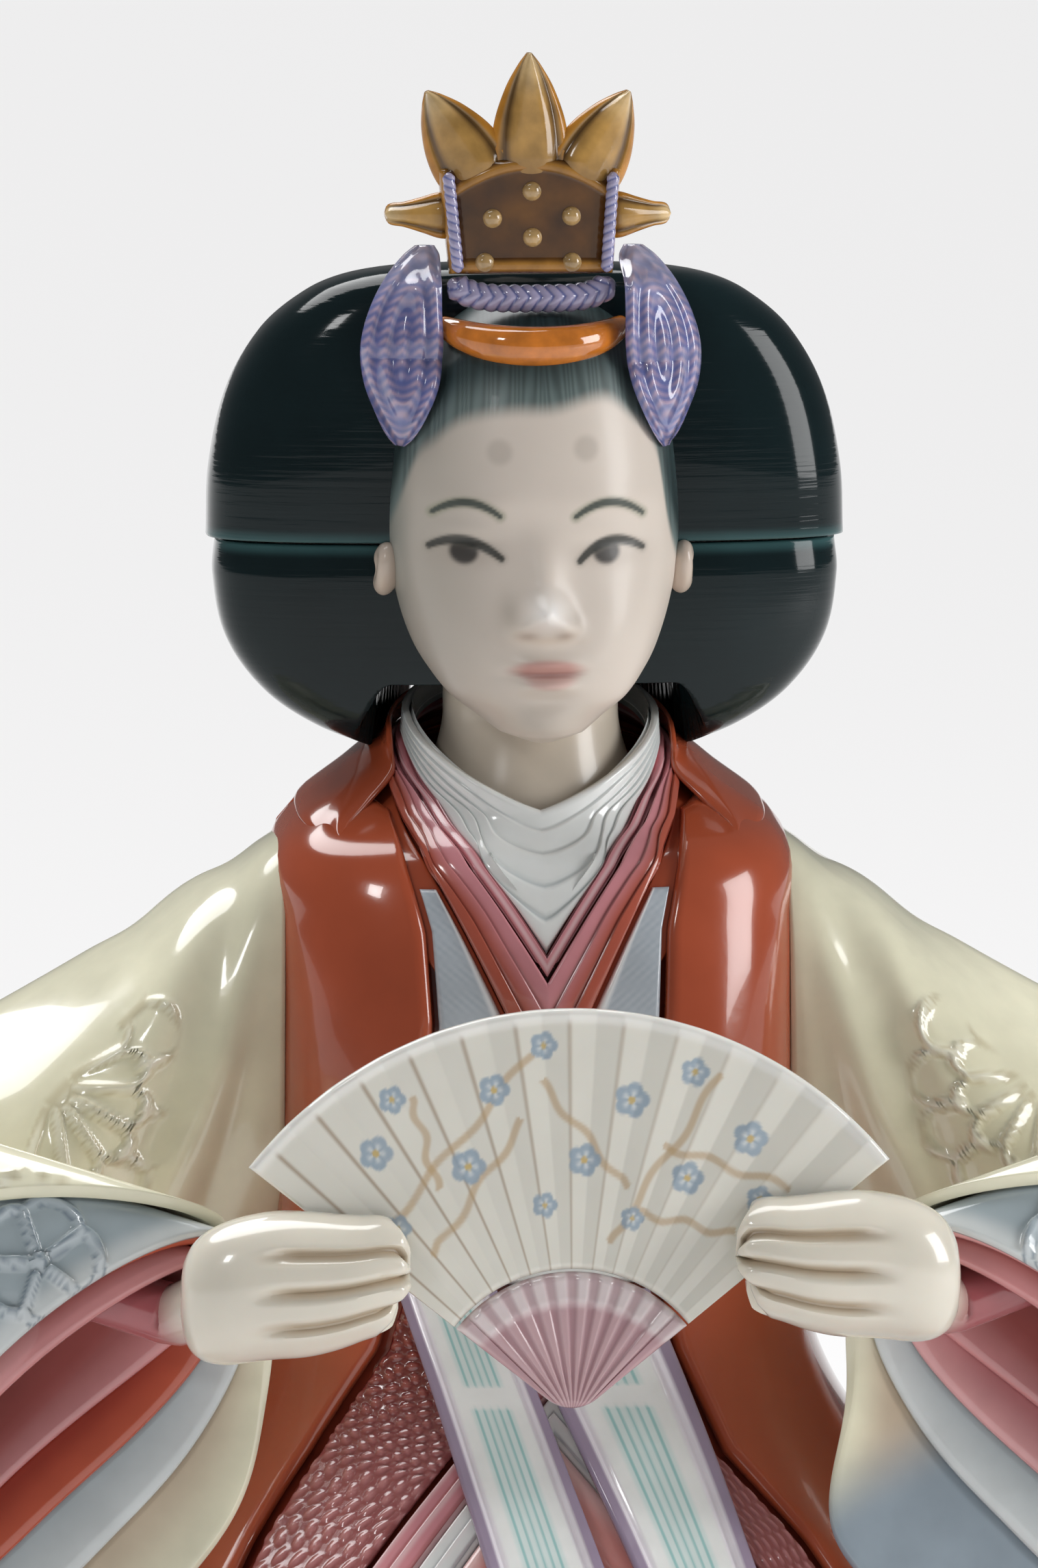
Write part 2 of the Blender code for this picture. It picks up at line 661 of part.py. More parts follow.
def build_brocade():
    gap = HEM_EDGE_GAP / KNEE_HALF_WIDTH
    steps = len(BROCADE_INNER_SHARES) - 1

    def spot(s, t, lift):
        place = 2 * s - 1
        side = -1 if place < 0 else 1
        k = round(abs(place) * steps)
        level, reached = BROCADE_OUTER_SHARES[k]
        outer = (abs(coat_edge(level, side)) - gap) * reached
        inner_level = BROCADE_INNER_SHARES[k]
        inner = (BROCADE_APEX_SHARE - inner_level) / BROCADE_FALL_SHARE
        across = outer + (inner - outer) * t
        height = level + (inner_level - level) * t
        return robe_point(turn_at(side * across, height), height, lift)
    slab("brocade_front", spot, 2 * steps, 3, HEM_LIFT, HEM_LIFT + HEM_THICKNESS, DARK_RED)


def build_hems():
    for name, top, foot, top_slope, foot_slope, rows, colour in HEM_SHARES:
        hem_band(name, (top, foot), (top_slope, foot_slope), 16, rows, colour)

    def under(s, t, lift):
        across = (2 * s - 1) * UNDER_REACH_SHARE
        top = UNDER_APEX_SHARE - UNDER_FALL_SHARE * abs(across)
        level = top + (UNDER_FOOT_SHARE - top) * t
        return robe_point(turn_at(across, level), level, lift)
    slab("hem_coral", under, 14, 6, HEM_LIFT, HEM_LIFT + HEM_THICKNESS, CORAL)


def build_sash():
    gap = EDGE_GAP / KNEE_HALF_WIDTH

    def belt(s, t, lift):
        level = SASH_FOOT_SHARE + (SASH_TOP_SHARE - SASH_FOOT_SHARE) * t
        left, right = coat_edge(level, -1) + gap, coat_edge(level, 1) - gap
        return robe_point(turn_at(left + (right - left) * s, level), level, lift)
    slab("sash_band", belt, 8, 2, LAYER_GAP, LAYER_GAP + SASH_THICKNESS, WHITE)
    near = HEM_LIFT + HEM_THICKNESS + SASH_LIFT
    for name, left, left_drift, right, right_drift in SASH_END_SHARES:
        def strip(s, t, lift, edges=(left, left_drift, right, right_drift)):
            drop = (SASH_END_TOP_SHARE - SASH_END_FOOT_SHARE) * t
            level = SASH_END_TOP_SHARE - drop
            start = edges[0] + edges[1] * drop
            end = edges[2] + edges[3] * drop
            return robe_point(turn_at(start + (end - start) * s, level), level, lift)
        slab(name, strip, 4, 12, near, near + SASH_THICKNESS, WHITE)


def build_train():
    near = LAYER_GAP + COAT_THICKNESS + TRAIN_LIFT

    def panel(s, t, lift):
        level = TRAIN_FOOT_SHARE + (TRAIN_TOP_SHARE - TRAIN_FOOT_SHARE) * t
        wide = TRAIN_FOOT_WIDTH_SHARE + (TRAIN_TOP_WIDTH_SHARE - TRAIN_FOOT_WIDTH_SHARE) * t
        return robe_point(math.pi - turn_at(wide * (2 * s - 1), level), level, lift)
    slab("train", panel, 10, 12, near, near + TRAIN_THICKNESS, WHITE)


def tail_spot(s, t, lift, half_width, levels):
    level = levels[0] + (levels[1] - levels[0]) * t
    over_train = LAYER_GAP + COAT_THICKNESS + TRAIN_LIFT + TRAIN_THICKNESS
    over_coat = LAYER_GAP + COAT_THICKNESS
    climb = min(max((level - TRAIN_TOP_SHARE) / (TIE_SHARE - TRAIN_TOP_SHARE), 0.0), 1.0)
    base = over_train + (over_coat - over_train) * climb + TRAIN_LIFT
    turn = math.pi - turn_at(half_width / KNEE_HALF_WIDTH * (2 * s - 1), level)
    crown = math.cos((s - 0.5) * math.pi) if lift > 0 else 1.0
    return robe_point(turn, level, base + lift * (0.45 + 0.55 * crown))


def build_tail():
    tie_half = TIE_HEIGHT / 2 / LAP_HEIGHT
    gap = EDGE_GAP / LAP_HEIGHT

    def lower(s, t, lift):
        levels = (TAIL_FOOT_SHARE, TIE_SHARE - tie_half - gap)
        return tail_spot(s, t, lift, TAIL_HALF_WIDTH * (0.55 + 0.35 * t), levels)

    def upper(s, t, lift):
        levels = (TIE_SHARE + tie_half + gap, TAIL_TOP_SHARE)
        return tail_spot(s, t, lift, TAIL_HALF_WIDTH * (0.90 + 0.10 * t), levels)

    def wrap(s, t, lift):
        levels = (TIE_SHARE - tie_half, TIE_SHARE + tie_half)
        return tail_spot(s, t, lift, TAIL_HALF_WIDTH, levels)
    slab("hair_tail_lower", lower, 4, 10, 0.0, TAIL_THICKNESS, HAIR_BLACK)
    slab("hair_tail_upper", upper, 4, 7, 0.0, TAIL_THICKNESS, HAIR_BLACK)
    slab("hair_tie", wrap, 4, 2, 0.0, TAIL_THICKNESS + TIE_WRAP, WHITE)


def body_place(shares, side):
    return Vector((side * shares[0] * KNEE_HALF_WIDTH, shares[1] * HEM_REACH,
                   shares[2] * LAP_HEIGHT))


def sleeve_frame(along, side):
    """The top, middle, foot and half-thickness of a sleeve at a place along it."""
    flat = [(k, *(value for group in ring for value in group))
            for k, ring in enumerate(SLEEVE_SHARES)]
    row = row_at(flat, along)
    return [body_place(row[k:k + 3], side) for k in (0, 3, 6, 9)]


def sleeve_spine(along, upwards, side):
    """A point in the middle of a sleeve's thickness; upwards runs from -1 to 1 across it."""
    top, middle, foot, _ = sleeve_frame(along, side)
    return middle + (top - foot) / 2 * upwards + ((top + foot) / 2 - middle) * upwards * upwards


def sleeve_point(along, angle, inset, side):
    """A point on a sleeve: along runs from the armhole, angle goes round from the top end."""
    top, _, foot, thick = sleeve_frame(along, side)
    shrink_long = 1 - inset / ((top - foot).length / 2)
    shrink_thick = 1 - inset / thick.length
    upwards = power(math.cos(angle), 2 / SLEEVE_SQUARENESS) * shrink_long
    outwards = power(math.sin(angle), 2 / SLEEVE_SQUARENESS) * shrink_thick
    return sleeve_spine(along, upwards, side) + thick * outwards


def rim_at(ends, angle):
    """Where a layer's rim lies, read smoothly round the mouth from its four named places."""
    top, front, foot, rear = ends
    long_part = math.cos(angle)
    wide_part = math.sin(angle)
    along = top * max(long_part, 0) ** 2 + foot * max(-long_part, 0) ** 2
    return along + front * max(wide_part, 0) ** 2 + rear * max(-wide_part, 0) ** 2


def sleeve_ring(along_at, inset, side):
    angles = [math.tau * k / SLEEVE_POINTS for k in range(SLEEVE_POINTS)]
    return [sleeve_point(along_at(angle), angle, inset, side) for angle in angles]


def rim_ring(layer, start, part, inset, side):
    """A ring part of the way from a place along the sleeve to a layer's rim."""
    ends = LAYER_END_SHARES[layer]
    return sleeve_ring(lambda angle: start + (rim_at(ends, angle) - start) * part, inset, side)


def hollow_rings(layer, inset, side):
    """The space inside a wall, following the rows of the layer that fills it."""
    rings = [sleeve_ring(lambda _: SOCKET_FLOOR_SHARE, inset, side)]
    for part in LAYER_ROW_SHARES + (HOLLOW_OVERRUN_SHARE,):
        rings.append(rim_ring(layer, CUFF_FLOOR_SHARE, part, inset, side))
    return rings


def build_sleeve(name, side):
    stations = (0.0, 0.35, 0.7, 1.0, 1.4, 1.8, 2.2, 2.6, 3.0, 3.4)
    rings = [sleeve_ring(lambda _, place=place: place, 0.0, side) for place in stations]
    rings += [rim_ring("cream", stations[-1], part, 0.0, side) for part in (0.3, 0.55, 0.8, 1.0)]
    sleeve = loft(name, rings, CREAM)
    hollow = hollow_rings("grey", SLEEVE_WALL, side)
    combine(sleeve, loft(name + "_hollow", hollow), "DIFFERENCE")
    combine(sleeve, coat_block(name + "_armhole"), "DIFFERENCE")
    return sleeve


def coat_block(name):
    """The dressed body, grown by a seat gap, that a sleeve is cut back to."""
    levels = robe_levels(COAT_HEM_SHARE, COAT_TOP_SHARE)
    turns = [math.tau * k / ROBE_POINTS for k in range(ROBE_POINTS)]
    lift = LAYER_GAP * 2 + COAT_THICKNESS
    return loft(name, [[robe_point(turn, level, lift) for turn in turns] for level in levels])


def build_cuff(name, side, order, layer, inner_layer, colour):
    """One inner layer of a sleeve's mouth: a ring of cloth inside the layer before it."""
    inset = SLEEVE_WALL + CUFF_GAP + order * (CUFF_WALL + CUFF_GAP)
    rings = [rim_ring(layer, CUFF_FLOOR_SHARE, part, inset, side) for part in LAYER_ROW_SHARES]
    cuff = loft(name, rings, colour)
    hollow = hollow_rings(inner_layer, inset + CUFF_WALL, side)
    combine(cuff, loft(name + "_hollow", hollow), "DIFFERENCE")
    combine(cuff, coat_block(name + "_lap"), "DIFFERENCE")


def head_ring(shares, grow=0.0):
    rise, wide, front, back = shares
    half_width = wide * FACE_HALF_WIDTH + grow
    ahead, behind = front * FACE_DEPTH + grow, back * SKULL_BACK + grow
    middle, half_depth = (behind - ahead) / 2, (behind + ahead) / 2
    ring = []
    for k in range(HEAD_POINTS):
        turn = math.tau * k / HEAD_POINTS
        ring.append(Vector((half_width * power(math.sin(turn), 2 / HEAD_SQUARENESS),
                            middle - half_depth * power(math.cos(turn), 2 / HEAD_SQUARENESS),
                            CHIN_HEIGHT + rise * HEAD_HEIGHT)))
    return ring


def head_egg(name, grow, colour=None):
    rings = [head_ring(shares, grow) for shares in HEAD_SHARES]
    for point in rings[0]:
        point.z -= grow
    for point in rings[-1]:
        point.z += grow
    return loft(name, rings, colour)


def oval(name, centre, half_sizes, tilt=0.0, fineness=2):
    shape = bmesh.new()
    bmesh.ops.create_icosphere(shape, subdivisions=fineness, radius=1)
    turn = Euler((tilt, 0, 0)).to_matrix()
    points = []
    for vertex in shape.verts:
        local = Vector([c * half for c, half in zip(OVAL_SPIN @ vertex.co, half_sizes)])
        points.append(centre + turn @ local)
    faces = [[vertex.index for vertex in face.verts] for face in shape.faces]
    shape.free()
    return solid(name, points, faces)


def build_head():
    head = head_egg("head", 0.0, SKIN)
    seat = NECK_SEAT_HEIGHT + SEAT_GAP
    jaw = CHIN_HEIGHT + HEAD_HEIGHT * NECK_TOP_SHARE
    neck = round_bar("neck", NECK_RADIUS, seat, jaw)
    plug = round_bar("neck_plug", NECK_PLUG_RADIUS, NECK_SEAT_HEIGHT - NECK_PLUG_LENGTH,
                     CHIN_HEIGHT)
    nose_rise = CHIN_HEIGHT + HEAD_HEIGHT * NOSE_SHARE
    nose = oval("nose", Vector((0, -FACE_DEPTH * NOSE_ROOT_SHARE, nose_rise)),
                (NOSE_WIDTH / 2, NOSE_REACH, NOSE_LENGTH / 2), NOSE_TILT)
    for piece in (neck, plug, nose):
        combine(head, piece, "UNION")
    for side in (-1, 1):
        centre = Vector((side * FACE_HALF_WIDTH * EAR_PLACE_SHARES[0],
                         FACE_DEPTH * EAR_PLACE_SHARES[1],
                         CHIN_HEIGHT + HEAD_HEIGHT * EAR_PLACE_SHARES[2]))
        ear = oval("ear", centre, (EAR_THICKNESS / 2, EAR_THICKNESS, EAR_HEIGHT / 2),
                   fineness=1)
        combine(head, ear, "UNION")


def hair_ring(shares, grow=0.0):
    rise, wide, front, back = shares
    half_width = wide * HAIR_HALF_WIDTH + grow
    ahead, behind = front * HAIR_FRONT + grow, back * HAIR_BACK + grow
    middle, half_depth = (behind - ahead) / 2, (behind + ahead) / 2
    ring = []
    for k in range(HAIR_POINTS):
        turn = math.tau * k / HAIR_POINTS
        ring.append(Vector((half_width * power(math.sin(turn), 2 / HAIR_SQUARENESS),
                            middle - half_depth * power(math.cos(turn), 2 / HAIR_SQUARENESS),
                            HAIR_BASE_HEIGHT + rise * HAIR_HEIGHT)))
    return ring


def head_clearance(name):
    """The whole head and neck, grown by a seat gap, that the hair is cut round."""
    return head_egg(name, SEAT_GAP)


def build_hair():
    lower = loft("hair_lower", [hair_ring(row) for row in HAIR_LOWER_SHARES], HAIR_BLACK)
    upper = loft("hair_upper", [hair_ring(row) for row in HAIR_UPPER_SHARES], HAIR_BLACK)
    foot = HAIR_BASE_HEIGHT - CUT_OVERRUN
    nape = round_bar("nape_clearance", NAPE_RADIUS, foot, NAPE_HEIGHT)
    notch = box("nape_notch", (-NAPE_NOTCH_HALF_WIDTH, 0, foot),
                (NAPE_NOTCH_HALF_WIDTH, HAIR_BACK + CUT_OVERRUN, NAPE_HEIGHT + SEAT_GAP))
    neck = round_bar("neck_clearance", NECK_RADIUS + SEAT_GAP, foot,
                     CHIN_HEIGHT + HEAD_HEIGHT * NECK_TOP_SHARE + SEAT_GAP)
    for cutter in (nape, notch, neck):
        combine(lower, cutter, "DIFFERENCE")
    for lobe in (lower, upper):
        combine(lobe, head_clearance(lobe.name + "_skull"), "DIFFERENCE")
        for side in (-1, 1):
            centre = Vector((side * FACE_HALF_WIDTH * EAR_PLACE_SHARES[0],
                             FACE_DEPTH * EAR_PLACE_SHARES[1],
                             CHIN_HEIGHT + HEAD_HEIGHT * EAR_PLACE_SHARES[2]))
            sizes = (EAR_THICKNESS / 2 + SEAT_GAP, EAR_THICKNESS + SEAT_GAP,
                     EAR_HEIGHT / 2 + SEAT_GAP)
            combine(lobe, oval(lobe.name + "_ear", centre, sizes, fineness=1), "DIFFERENCE")


def box(name, low, high):
    corners = [Vector((x, y, z)) for x in (low[0], high[0]) for y in (low[1], high[1])
               for z in (low[2], high[2])]
    faces = [(0, 1, 3, 2), (4, 6, 7, 5), (0, 4, 5, 1), (2, 3, 7, 6), (0, 2, 6, 4), (1, 5, 7, 3)]
    return solid(name, corners, faces)


def build_band():
    steps = 14
    path, sizes = [], []
    for k in range(steps + 1):
        share = 2 * k / steps - 1
        turn = share * BAND_HALF_SPREAD
        path.append(Vector((BAND_HALF_WIDTH * math.sin(turn) - BAND_OFFSET,
                            -BAND_REACH * math.cos(turn),
                            BAND_HEIGHT + BAND_RISE * share * share)))
        swell = math.sqrt(max(1 - share * share * BAND_TAPER_SHARE, 0.0))
        sizes.append((BAND_HALF_DEPTH * swell, BAND_HALF_HEIGHT * swell))
    band = tube("head_band", path, sizes, ROPE_SIDES, BAND_ORANGE)
    combine(band, head_clearance("band_skull"), "DIFFERENCE")
    combine(band, loft("band_hair", [hair_ring(row, SEAT_GAP) for row in HAIR_UPPER_SHARES]),
            "DIFFERENCE")


def crown_at(across, rise, ahead):
    """A place on the crown's bent plate, leaned a little to one side with the crown."""
    bend = across * across / (2 * CROWN_BEND_RADIUS)
    height = CROWN_BASE_HEIGHT + rise
    drop = height - CHIN_HEIGHT
    return Vector((across + CROWN_LEAN * drop, -CROWN_FRONT + bend - ahead, height))


def crown_blade(name, root, lean, length, width, thickness):
    """A leaf or spike: a pointed blade with a raised middle, laid on the bent plate."""
    rings = []
    for share, wide_share in CROWN_BLADE_SHARES:
        centre = (root[0] + math.sin(lean) * length * share,
                  root[1] + math.cos(lean) * length * share)
        half = width / 2 * wide_share
        thick = thickness / 2 * (0.45 + 0.55 * wide_share)
        ring = []
        for k in range(8):
            turn = math.tau * k / 8
            out = half * math.cos(turn)
            ring.append(crown_at(centre[0] + out * math.cos(lean),
                                 centre[1] - out * math.sin(lean), thick * math.sin(turn)))
        rings.append(ring)
    return loft(name, rings)


def build_crown():
    half, rise = CROWN_HALF_WIDTH, CROWN_BODY_HEIGHT
    thick = CROWN_PLATE_THICKNESS / 2
    columns = 8

    def plate(s, t, ahead):
        wide = half * (1 + CROWN_FLARE_SHARE * t)
        arch = CROWN_ARCH_SHARE * rise * (1 - (2 * s - 1) ** 2) * t
        return crown_at((2 * s - 1) * wide, rise * t + arch, ahead)
    crown = slab("crown_plate", plate, columns, 3, -thick, thick, GOLD_GLAZE)
    for k, (lean, root, length_share) in enumerate(CROWN_LEAF_SHARES):
        start = (root * half, rise * CROWN_LEAF_ROOT_SHARE)
        blade = crown_blade(f"crown_leaf_{k}", start, math.radians(lean),
                            CROWN_LEAF_LENGTH * length_share, CROWN_LEAF_WIDTH,
                            CROWN_PLATE_THICKNESS * (1 + CROWN_RIDGE_SHARE * (1 + k)))
        combine(crown, blade, "UNION")
    for side in (-1, 1):
        blade = crown_blade("crown_spike", (side * half * CROWN_SPIKE_ROOT_SHARE,
                                            rise * CROWN_SPIKE_RISE_SHARE),
                            side * CROWN_SPIKE_LEAN, CROWN_SPIKE_LENGTH, CROWN_SPIKE_WIDTH,
                            CROWN_PLATE_THICKNESS * (1 - CROWN_RIDGE_SHARE))
        combine(crown, blade, "UNION")
    for k, (across, height) in enumerate(CROWN_STUD_SHARES):
        centre = crown_at(across * half, height * rise, thick)
        combine(crown, oval(f"crown_stud_{k}", centre, (STUD_RADIUS,) * 3, fineness=1), "UNION")
    build_crown_cords()


def build_crown_cords():
    half, rise = CROWN_HALF_WIDTH, CROWN_BODY_HEIGHT
    foot = -CORD_ROLL_RADIUS - SEAT_GAP
    steps = 10
    path = [crown_at(half * (2 * k / steps - 1), foot, 0.0) for k in range(steps + 1)]
    roll = tube("crown_roll", path, [(CORD_ROLL_RADIUS, CORD_ROLL_RADIUS)] * len(path),
                ROPE_SIDES, CORD_PURPLE)
    combine(roll, head_clearance("roll_skull"), "DIFFERENCE")
    combine(roll, loft("roll_hair", [hair_ring(row, SEAT_GAP) for row in HAIR_UPPER_SHARES]),
            "DIFFERENCE")
    ahead = CROWN_PLATE_THICKNESS / 2 + SIDE_CORD_RADIUS + SEAT_GAP
    for label, side in (("left", -1), ("right", 1)):
        path = []
        for k in range(9):
            t = SIDE_CORD_SHARES[0] + (SIDE_CORD_SHARES[1] - SIDE_CORD_SHARES[0]) * k / 8
            wide = half * (1 + CROWN_FLARE_SHARE * t) * SIDE_CORD_PLACE_SHARE
            path.append(crown_at(side * wide, rise * t, ahead))
        tube(f"crown_cord_{label}", path, [(SIDE_CORD_RADIUS, SIDE_CORD_RADIUS)] * 9, 6,
             CORD_PURPLE, upright=Vector((0, -1, 0)))


def face_front(across, height):
    """How far forward the head or the hair stands at a place seen from the front."""
    reach = LOOP_TOP_FORWARD
    lobes = ((HEAD_SHARES, CHIN_HEIGHT, HEAD_HEIGHT, FACE_HALF_WIDTH, FACE_DEPTH,
              HEAD_SQUARENESS),
             (HAIR_UPPER_SHARES, HAIR_BASE_HEIGHT, HAIR_HEIGHT, HAIR_HALF_WIDTH, HAIR_FRONT,
              HAIR_SQUARENESS))
    for table, base, tall, half_width, depth, square in lobes:
        rise = (height - base) / tall
        if table[0][0] <= rise <= 1:
            wide, front = row_at(table, rise)[:2]
            share = min(abs(across) / (wide * half_width), 1.0)
            reach = max(reach, front * depth * (1 - share ** square) ** (1 / square))
    share = min(abs(across) / (BAND_HALF_WIDTH + BAND_OFFSET), 1.0)
    if abs(height - BAND_HEIGHT - BAND_RISE) < 2 * BAND_HALF_HEIGHT:
        reach = max(reach, BAND_REACH * math.sqrt(1 - share * share) + BAND_HALF_DEPTH)
    return reach


def loop_ring(row, side):
    """One level of the folded cord at a temple, laid on the head, the band and the hair."""
    down, across_share, wide_share, thick_share = row
    height = LOOP_TOP_HEIGHT - LOOP_HEIGHT * down
    centre = side * across_share * LOOP_ACROSS + CROWN_LEAN * (height - CHIN_HEIGHT)
    half = wide_share * LOOP_HALF_WIDTH
    edges = [face_front(centre + end * half, height) for end in (-1, 1)]
    ring = []
    for k in range(LOOP_POINTS):
        turn = math.tau * k / LOOP_POINTS
        near = edges[0] + (edges[1] - edges[0]) * (1 + math.cos(turn)) / 2 + LAYER_GAP
        out = near + thick_share * LOOP_THICKNESS * (1 + math.sin(turn)) / 2
        ring.append(Vector((centre + half * math.cos(turn), -out, height)))
    return ring


def build_loops():
    for label, side in (("left", -1), ("right", 1)):
        loft("cord_loop_" + label, [loop_ring(row, side) for row in LOOP_SHARES], CORD_PURPLE)


def fan_at(out, turn, ahead):
    """A place on the fan: distance from the apex, turn from upright and height off its plane."""
    across = out * math.sin(turn)
    up = out * math.cos(turn)
    return Vector((across, -FAN_APEX_FORWARD + up * math.sin(FAN_LEAN) - ahead * math.cos(FAN_LEAN),
                   FAN_APEX_HEIGHT + up * math.cos(FAN_LEAN) + ahead * math.sin(FAN_LEAN)))


def build_fan():
    start = FAN_ROOT_RADIUS + SEAT_GAP
    half_pleats = 2 * FAN_PLEATS
    half_leaf = FAN_LEAF_THICKNESS / 2

    def leaf(s, t, ahead):
        out = start + (FAN_RADIUS - start) * t
        fold = FAN_PLEAT_DEPTH / 2 * (out / FAN_RADIUS)
        fold *= 1 if round(s * half_pleats) % 2 else -1
        return fan_at(out, (2 * s - 1) * FAN_HALF_SPREAD, ahead + fold)
    slab("fan_leaf", leaf, half_pleats, 2, -half_leaf, half_leaf, WHITE)
    centre = FAN_CORNER_RADIUS / math.sin(FAN_HALF_SPREAD)

    def root(s, t, ahead):
        turn = (2 * s - 1) * FAN_HALF_SPREAD
        chord = FAN_CORNER_RADIUS ** 2 - (centre * math.sin(turn)) ** 2
        corner = centre * math.cos(turn) - math.sqrt(max(chord, 0.0))
        return fan_at(corner + (FAN_ROOT_RADIUS - corner) * t, turn, ahead)
    half_root = FAN_ROOT_THICKNESS / 2
    slab("fan_sticks", root, 16, 2, -half_root, half_root, ROOT_PINK)


def fan_slot(name):
    """The fan's own space, swept up the way it lifts, that each hand is cut round."""
    grow = FAN_SLOT_CLEARANCE
    ahead = FAN_ROOT_THICKNESS / 2 + grow
    apex = -grow / math.sin(FAN_HALF_SPREAD)
    reach = FAN_RADIUS + grow - apex
    top = FAN_RADIUS + CUT_OVERRUN
    outline = [(0.0, apex)]
    corner = (reach * math.sin(FAN_HALF_SPREAD), apex + reach * math.cos(FAN_HALF_SPREAD))
    outline += [corner, (corner[0], top), (-corner[0], top), (-corner[0], corner[1])]
    points = []
    for side in (-ahead, ahead):
        points += [fan_at(math.hypot(x, u), math.atan2(x, u), side) if u >= 0
                   else fan_at(u, 0.0, side) for x, u in outline]
    count = len(outline)
    faces = [tuple(range(count)), tuple(range(2 * count - 1, count - 1, -1))]
    faces += [(k, (k + 1) % count, count + (k + 1) % count, count + k) for k in range(count)]
    return solid(name, points, faces)


def hand_ring(row, side, rise):
    along, ahead, height, tall, deep = row
    ring = []
    for k in range(HAND_POINTS):
        turn = math.tau * k / HAND_POINTS
        lift = tall * HAND_HALF_HEIGHT * power(math.cos(turn), 2 / 2.4)
        out = deep * HAND_HALF_DEPTH * power(math.sin(turn), 2 / 2.4)
        across = FINGER_TIP_SHARE * KNEE_HALF_WIDTH + along * HAND_LENGTH
        if math.sin(turn) > 0 and along < FINGER_ROOT_SHARE:
            out += FINGER_GROOVE * (math.cos(turn * 8) - 1) / 2
        ring.append(Vector((side * across, ahead * HEM_REACH - out,
                            (height + rise) * LAP_HEIGHT + lift)))
    return ring


def build_hands():
    for label, side, rise in (("left", -1, 0.0), ("right", 1, RIGHT_HAND_RISE_SHARE)):
        hand = loft("hand_" + label, [hand_ring(row, side, rise) for row in HAND_SHARES], SKIN)
        path = [body_place(PALM_SHARES, side)]
        path += [sleeve_spine(along, upwards, side) for along, upwards in FOREARM_SHARES]
        forearm = tube(f"forearm_{label}", path, [(FOREARM_RADIUS, FOREARM_RADIUS)] * len(path),
                       HAND_POINTS // 2, None)
        combine(hand, forearm, "UNION")
        combine(hand, fan_slot(f"hand_{label}_slot"), "DIFFERENCE")
        stop = [sleeve_ring(lambda _, place=place: place, 0.0, side)
                for place in (FOREARM_STOP_SHARE - 1, FOREARM_STOP_SHARE)]
        combine(hand, loft(f"hand_{label}_stop", stop), "DIFFERENCE")


def hang(name, place, names, parent=None):
    """An empty on a joint's axis that carries the pieces that move with it."""
    pivot = bpy.data.objects.new(name, None)
    bpy.context.scene.collection.objects.link(pivot)
    start = Vector() if parent is None else parent[1]
    pivot.location = place - start
    if parent is not None:
        pivot.parent = parent[0]
    for piece in names:
        objects[piece].parent = pivot
        objects[piece].matrix_parent_inverse = Matrix.Translation(-place)
    return pivot, place


def build_pivots():
    cords = [f"{kind}_{label}" for kind in ("crown_cord", "cord_loop")
             for label in ("left", "right")]
    neck = hang("neck_pivot", Vector((0, 0, NECK_SEAT_HEIGHT)),
                ["head", "hair_lower", "hair_upper", "head_band"])
    hang("crown_guide", Vector((0, 0, CROWN_BASE_HEIGHT)),
         ["crown_plate", "crown_roll"] + cords, neck)
    hang("fan_guide", fan_at(0.0, 0.0, 0.0), ["fan_leaf", "fan_sticks"])


def main():
    for item in list(bpy.data.objects):
        bpy.data.objects.remove(item)
    build_robe_body()
    build_coat()
    build_collars()
    build_lapels()
    build_brocade()
    build_hems()
    build_sash()
    build_train()
    build_tail()
    for label, side in (("left", -1), ("right", 1)):
        build_sleeve("sleeve_" + label, side)
        build_cuff("cuff_grey_" + label, side, 0, "grey", "red", GREY_BLUE)
        build_cuff("cuff_red_" + label, side, 1, "red", "pink", COAT_RED)
        build_cuff("cuff_pink_" + label, side, 2, "pink", "pink", PINK)
    build_hands()
    build_fan()
    build_head()
    build_hair()
    build_band()
    build_crown()
    build_loops()
    build_pivots()


main()
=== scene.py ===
# %% [markdown]
# # A seated court doll in glazed porcelain
# The doll is a cast figure with thin applied layers: robes, a fan, a crown and cords.
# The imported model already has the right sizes, so every piece here follows the same outlines
# and adds what a glaze shows: rounded rims, low relief, painted lines and a soft gloss.

# %% The frame
import math

import bpy
import numpy as np
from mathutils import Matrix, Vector


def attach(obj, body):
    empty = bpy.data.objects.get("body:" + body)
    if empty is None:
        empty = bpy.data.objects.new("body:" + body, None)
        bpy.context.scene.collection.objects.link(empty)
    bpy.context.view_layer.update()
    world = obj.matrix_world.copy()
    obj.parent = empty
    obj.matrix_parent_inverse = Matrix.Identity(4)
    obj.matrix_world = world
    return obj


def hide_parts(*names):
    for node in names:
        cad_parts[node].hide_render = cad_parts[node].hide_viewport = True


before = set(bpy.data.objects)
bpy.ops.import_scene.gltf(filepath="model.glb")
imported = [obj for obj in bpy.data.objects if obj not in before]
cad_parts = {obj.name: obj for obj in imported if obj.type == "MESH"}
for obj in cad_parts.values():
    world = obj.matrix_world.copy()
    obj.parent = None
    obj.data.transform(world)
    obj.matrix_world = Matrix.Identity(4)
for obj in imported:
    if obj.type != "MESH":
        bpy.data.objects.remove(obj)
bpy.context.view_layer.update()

# %% [markdown]
# ## Smooth outlines from short tables
# The robes, the sleeves, the head and the hair are all given by a few measured rings. A smooth
# curve through the rings gives every level between them. Working on whole arrays at once keeps
# a piece of twenty thousand points quick to place.

# %% Reading a table of rings
LAP, KNEE, REACH = 0.100, 0.100, 0.100  # metres per unit of the tables: up, across and forwards


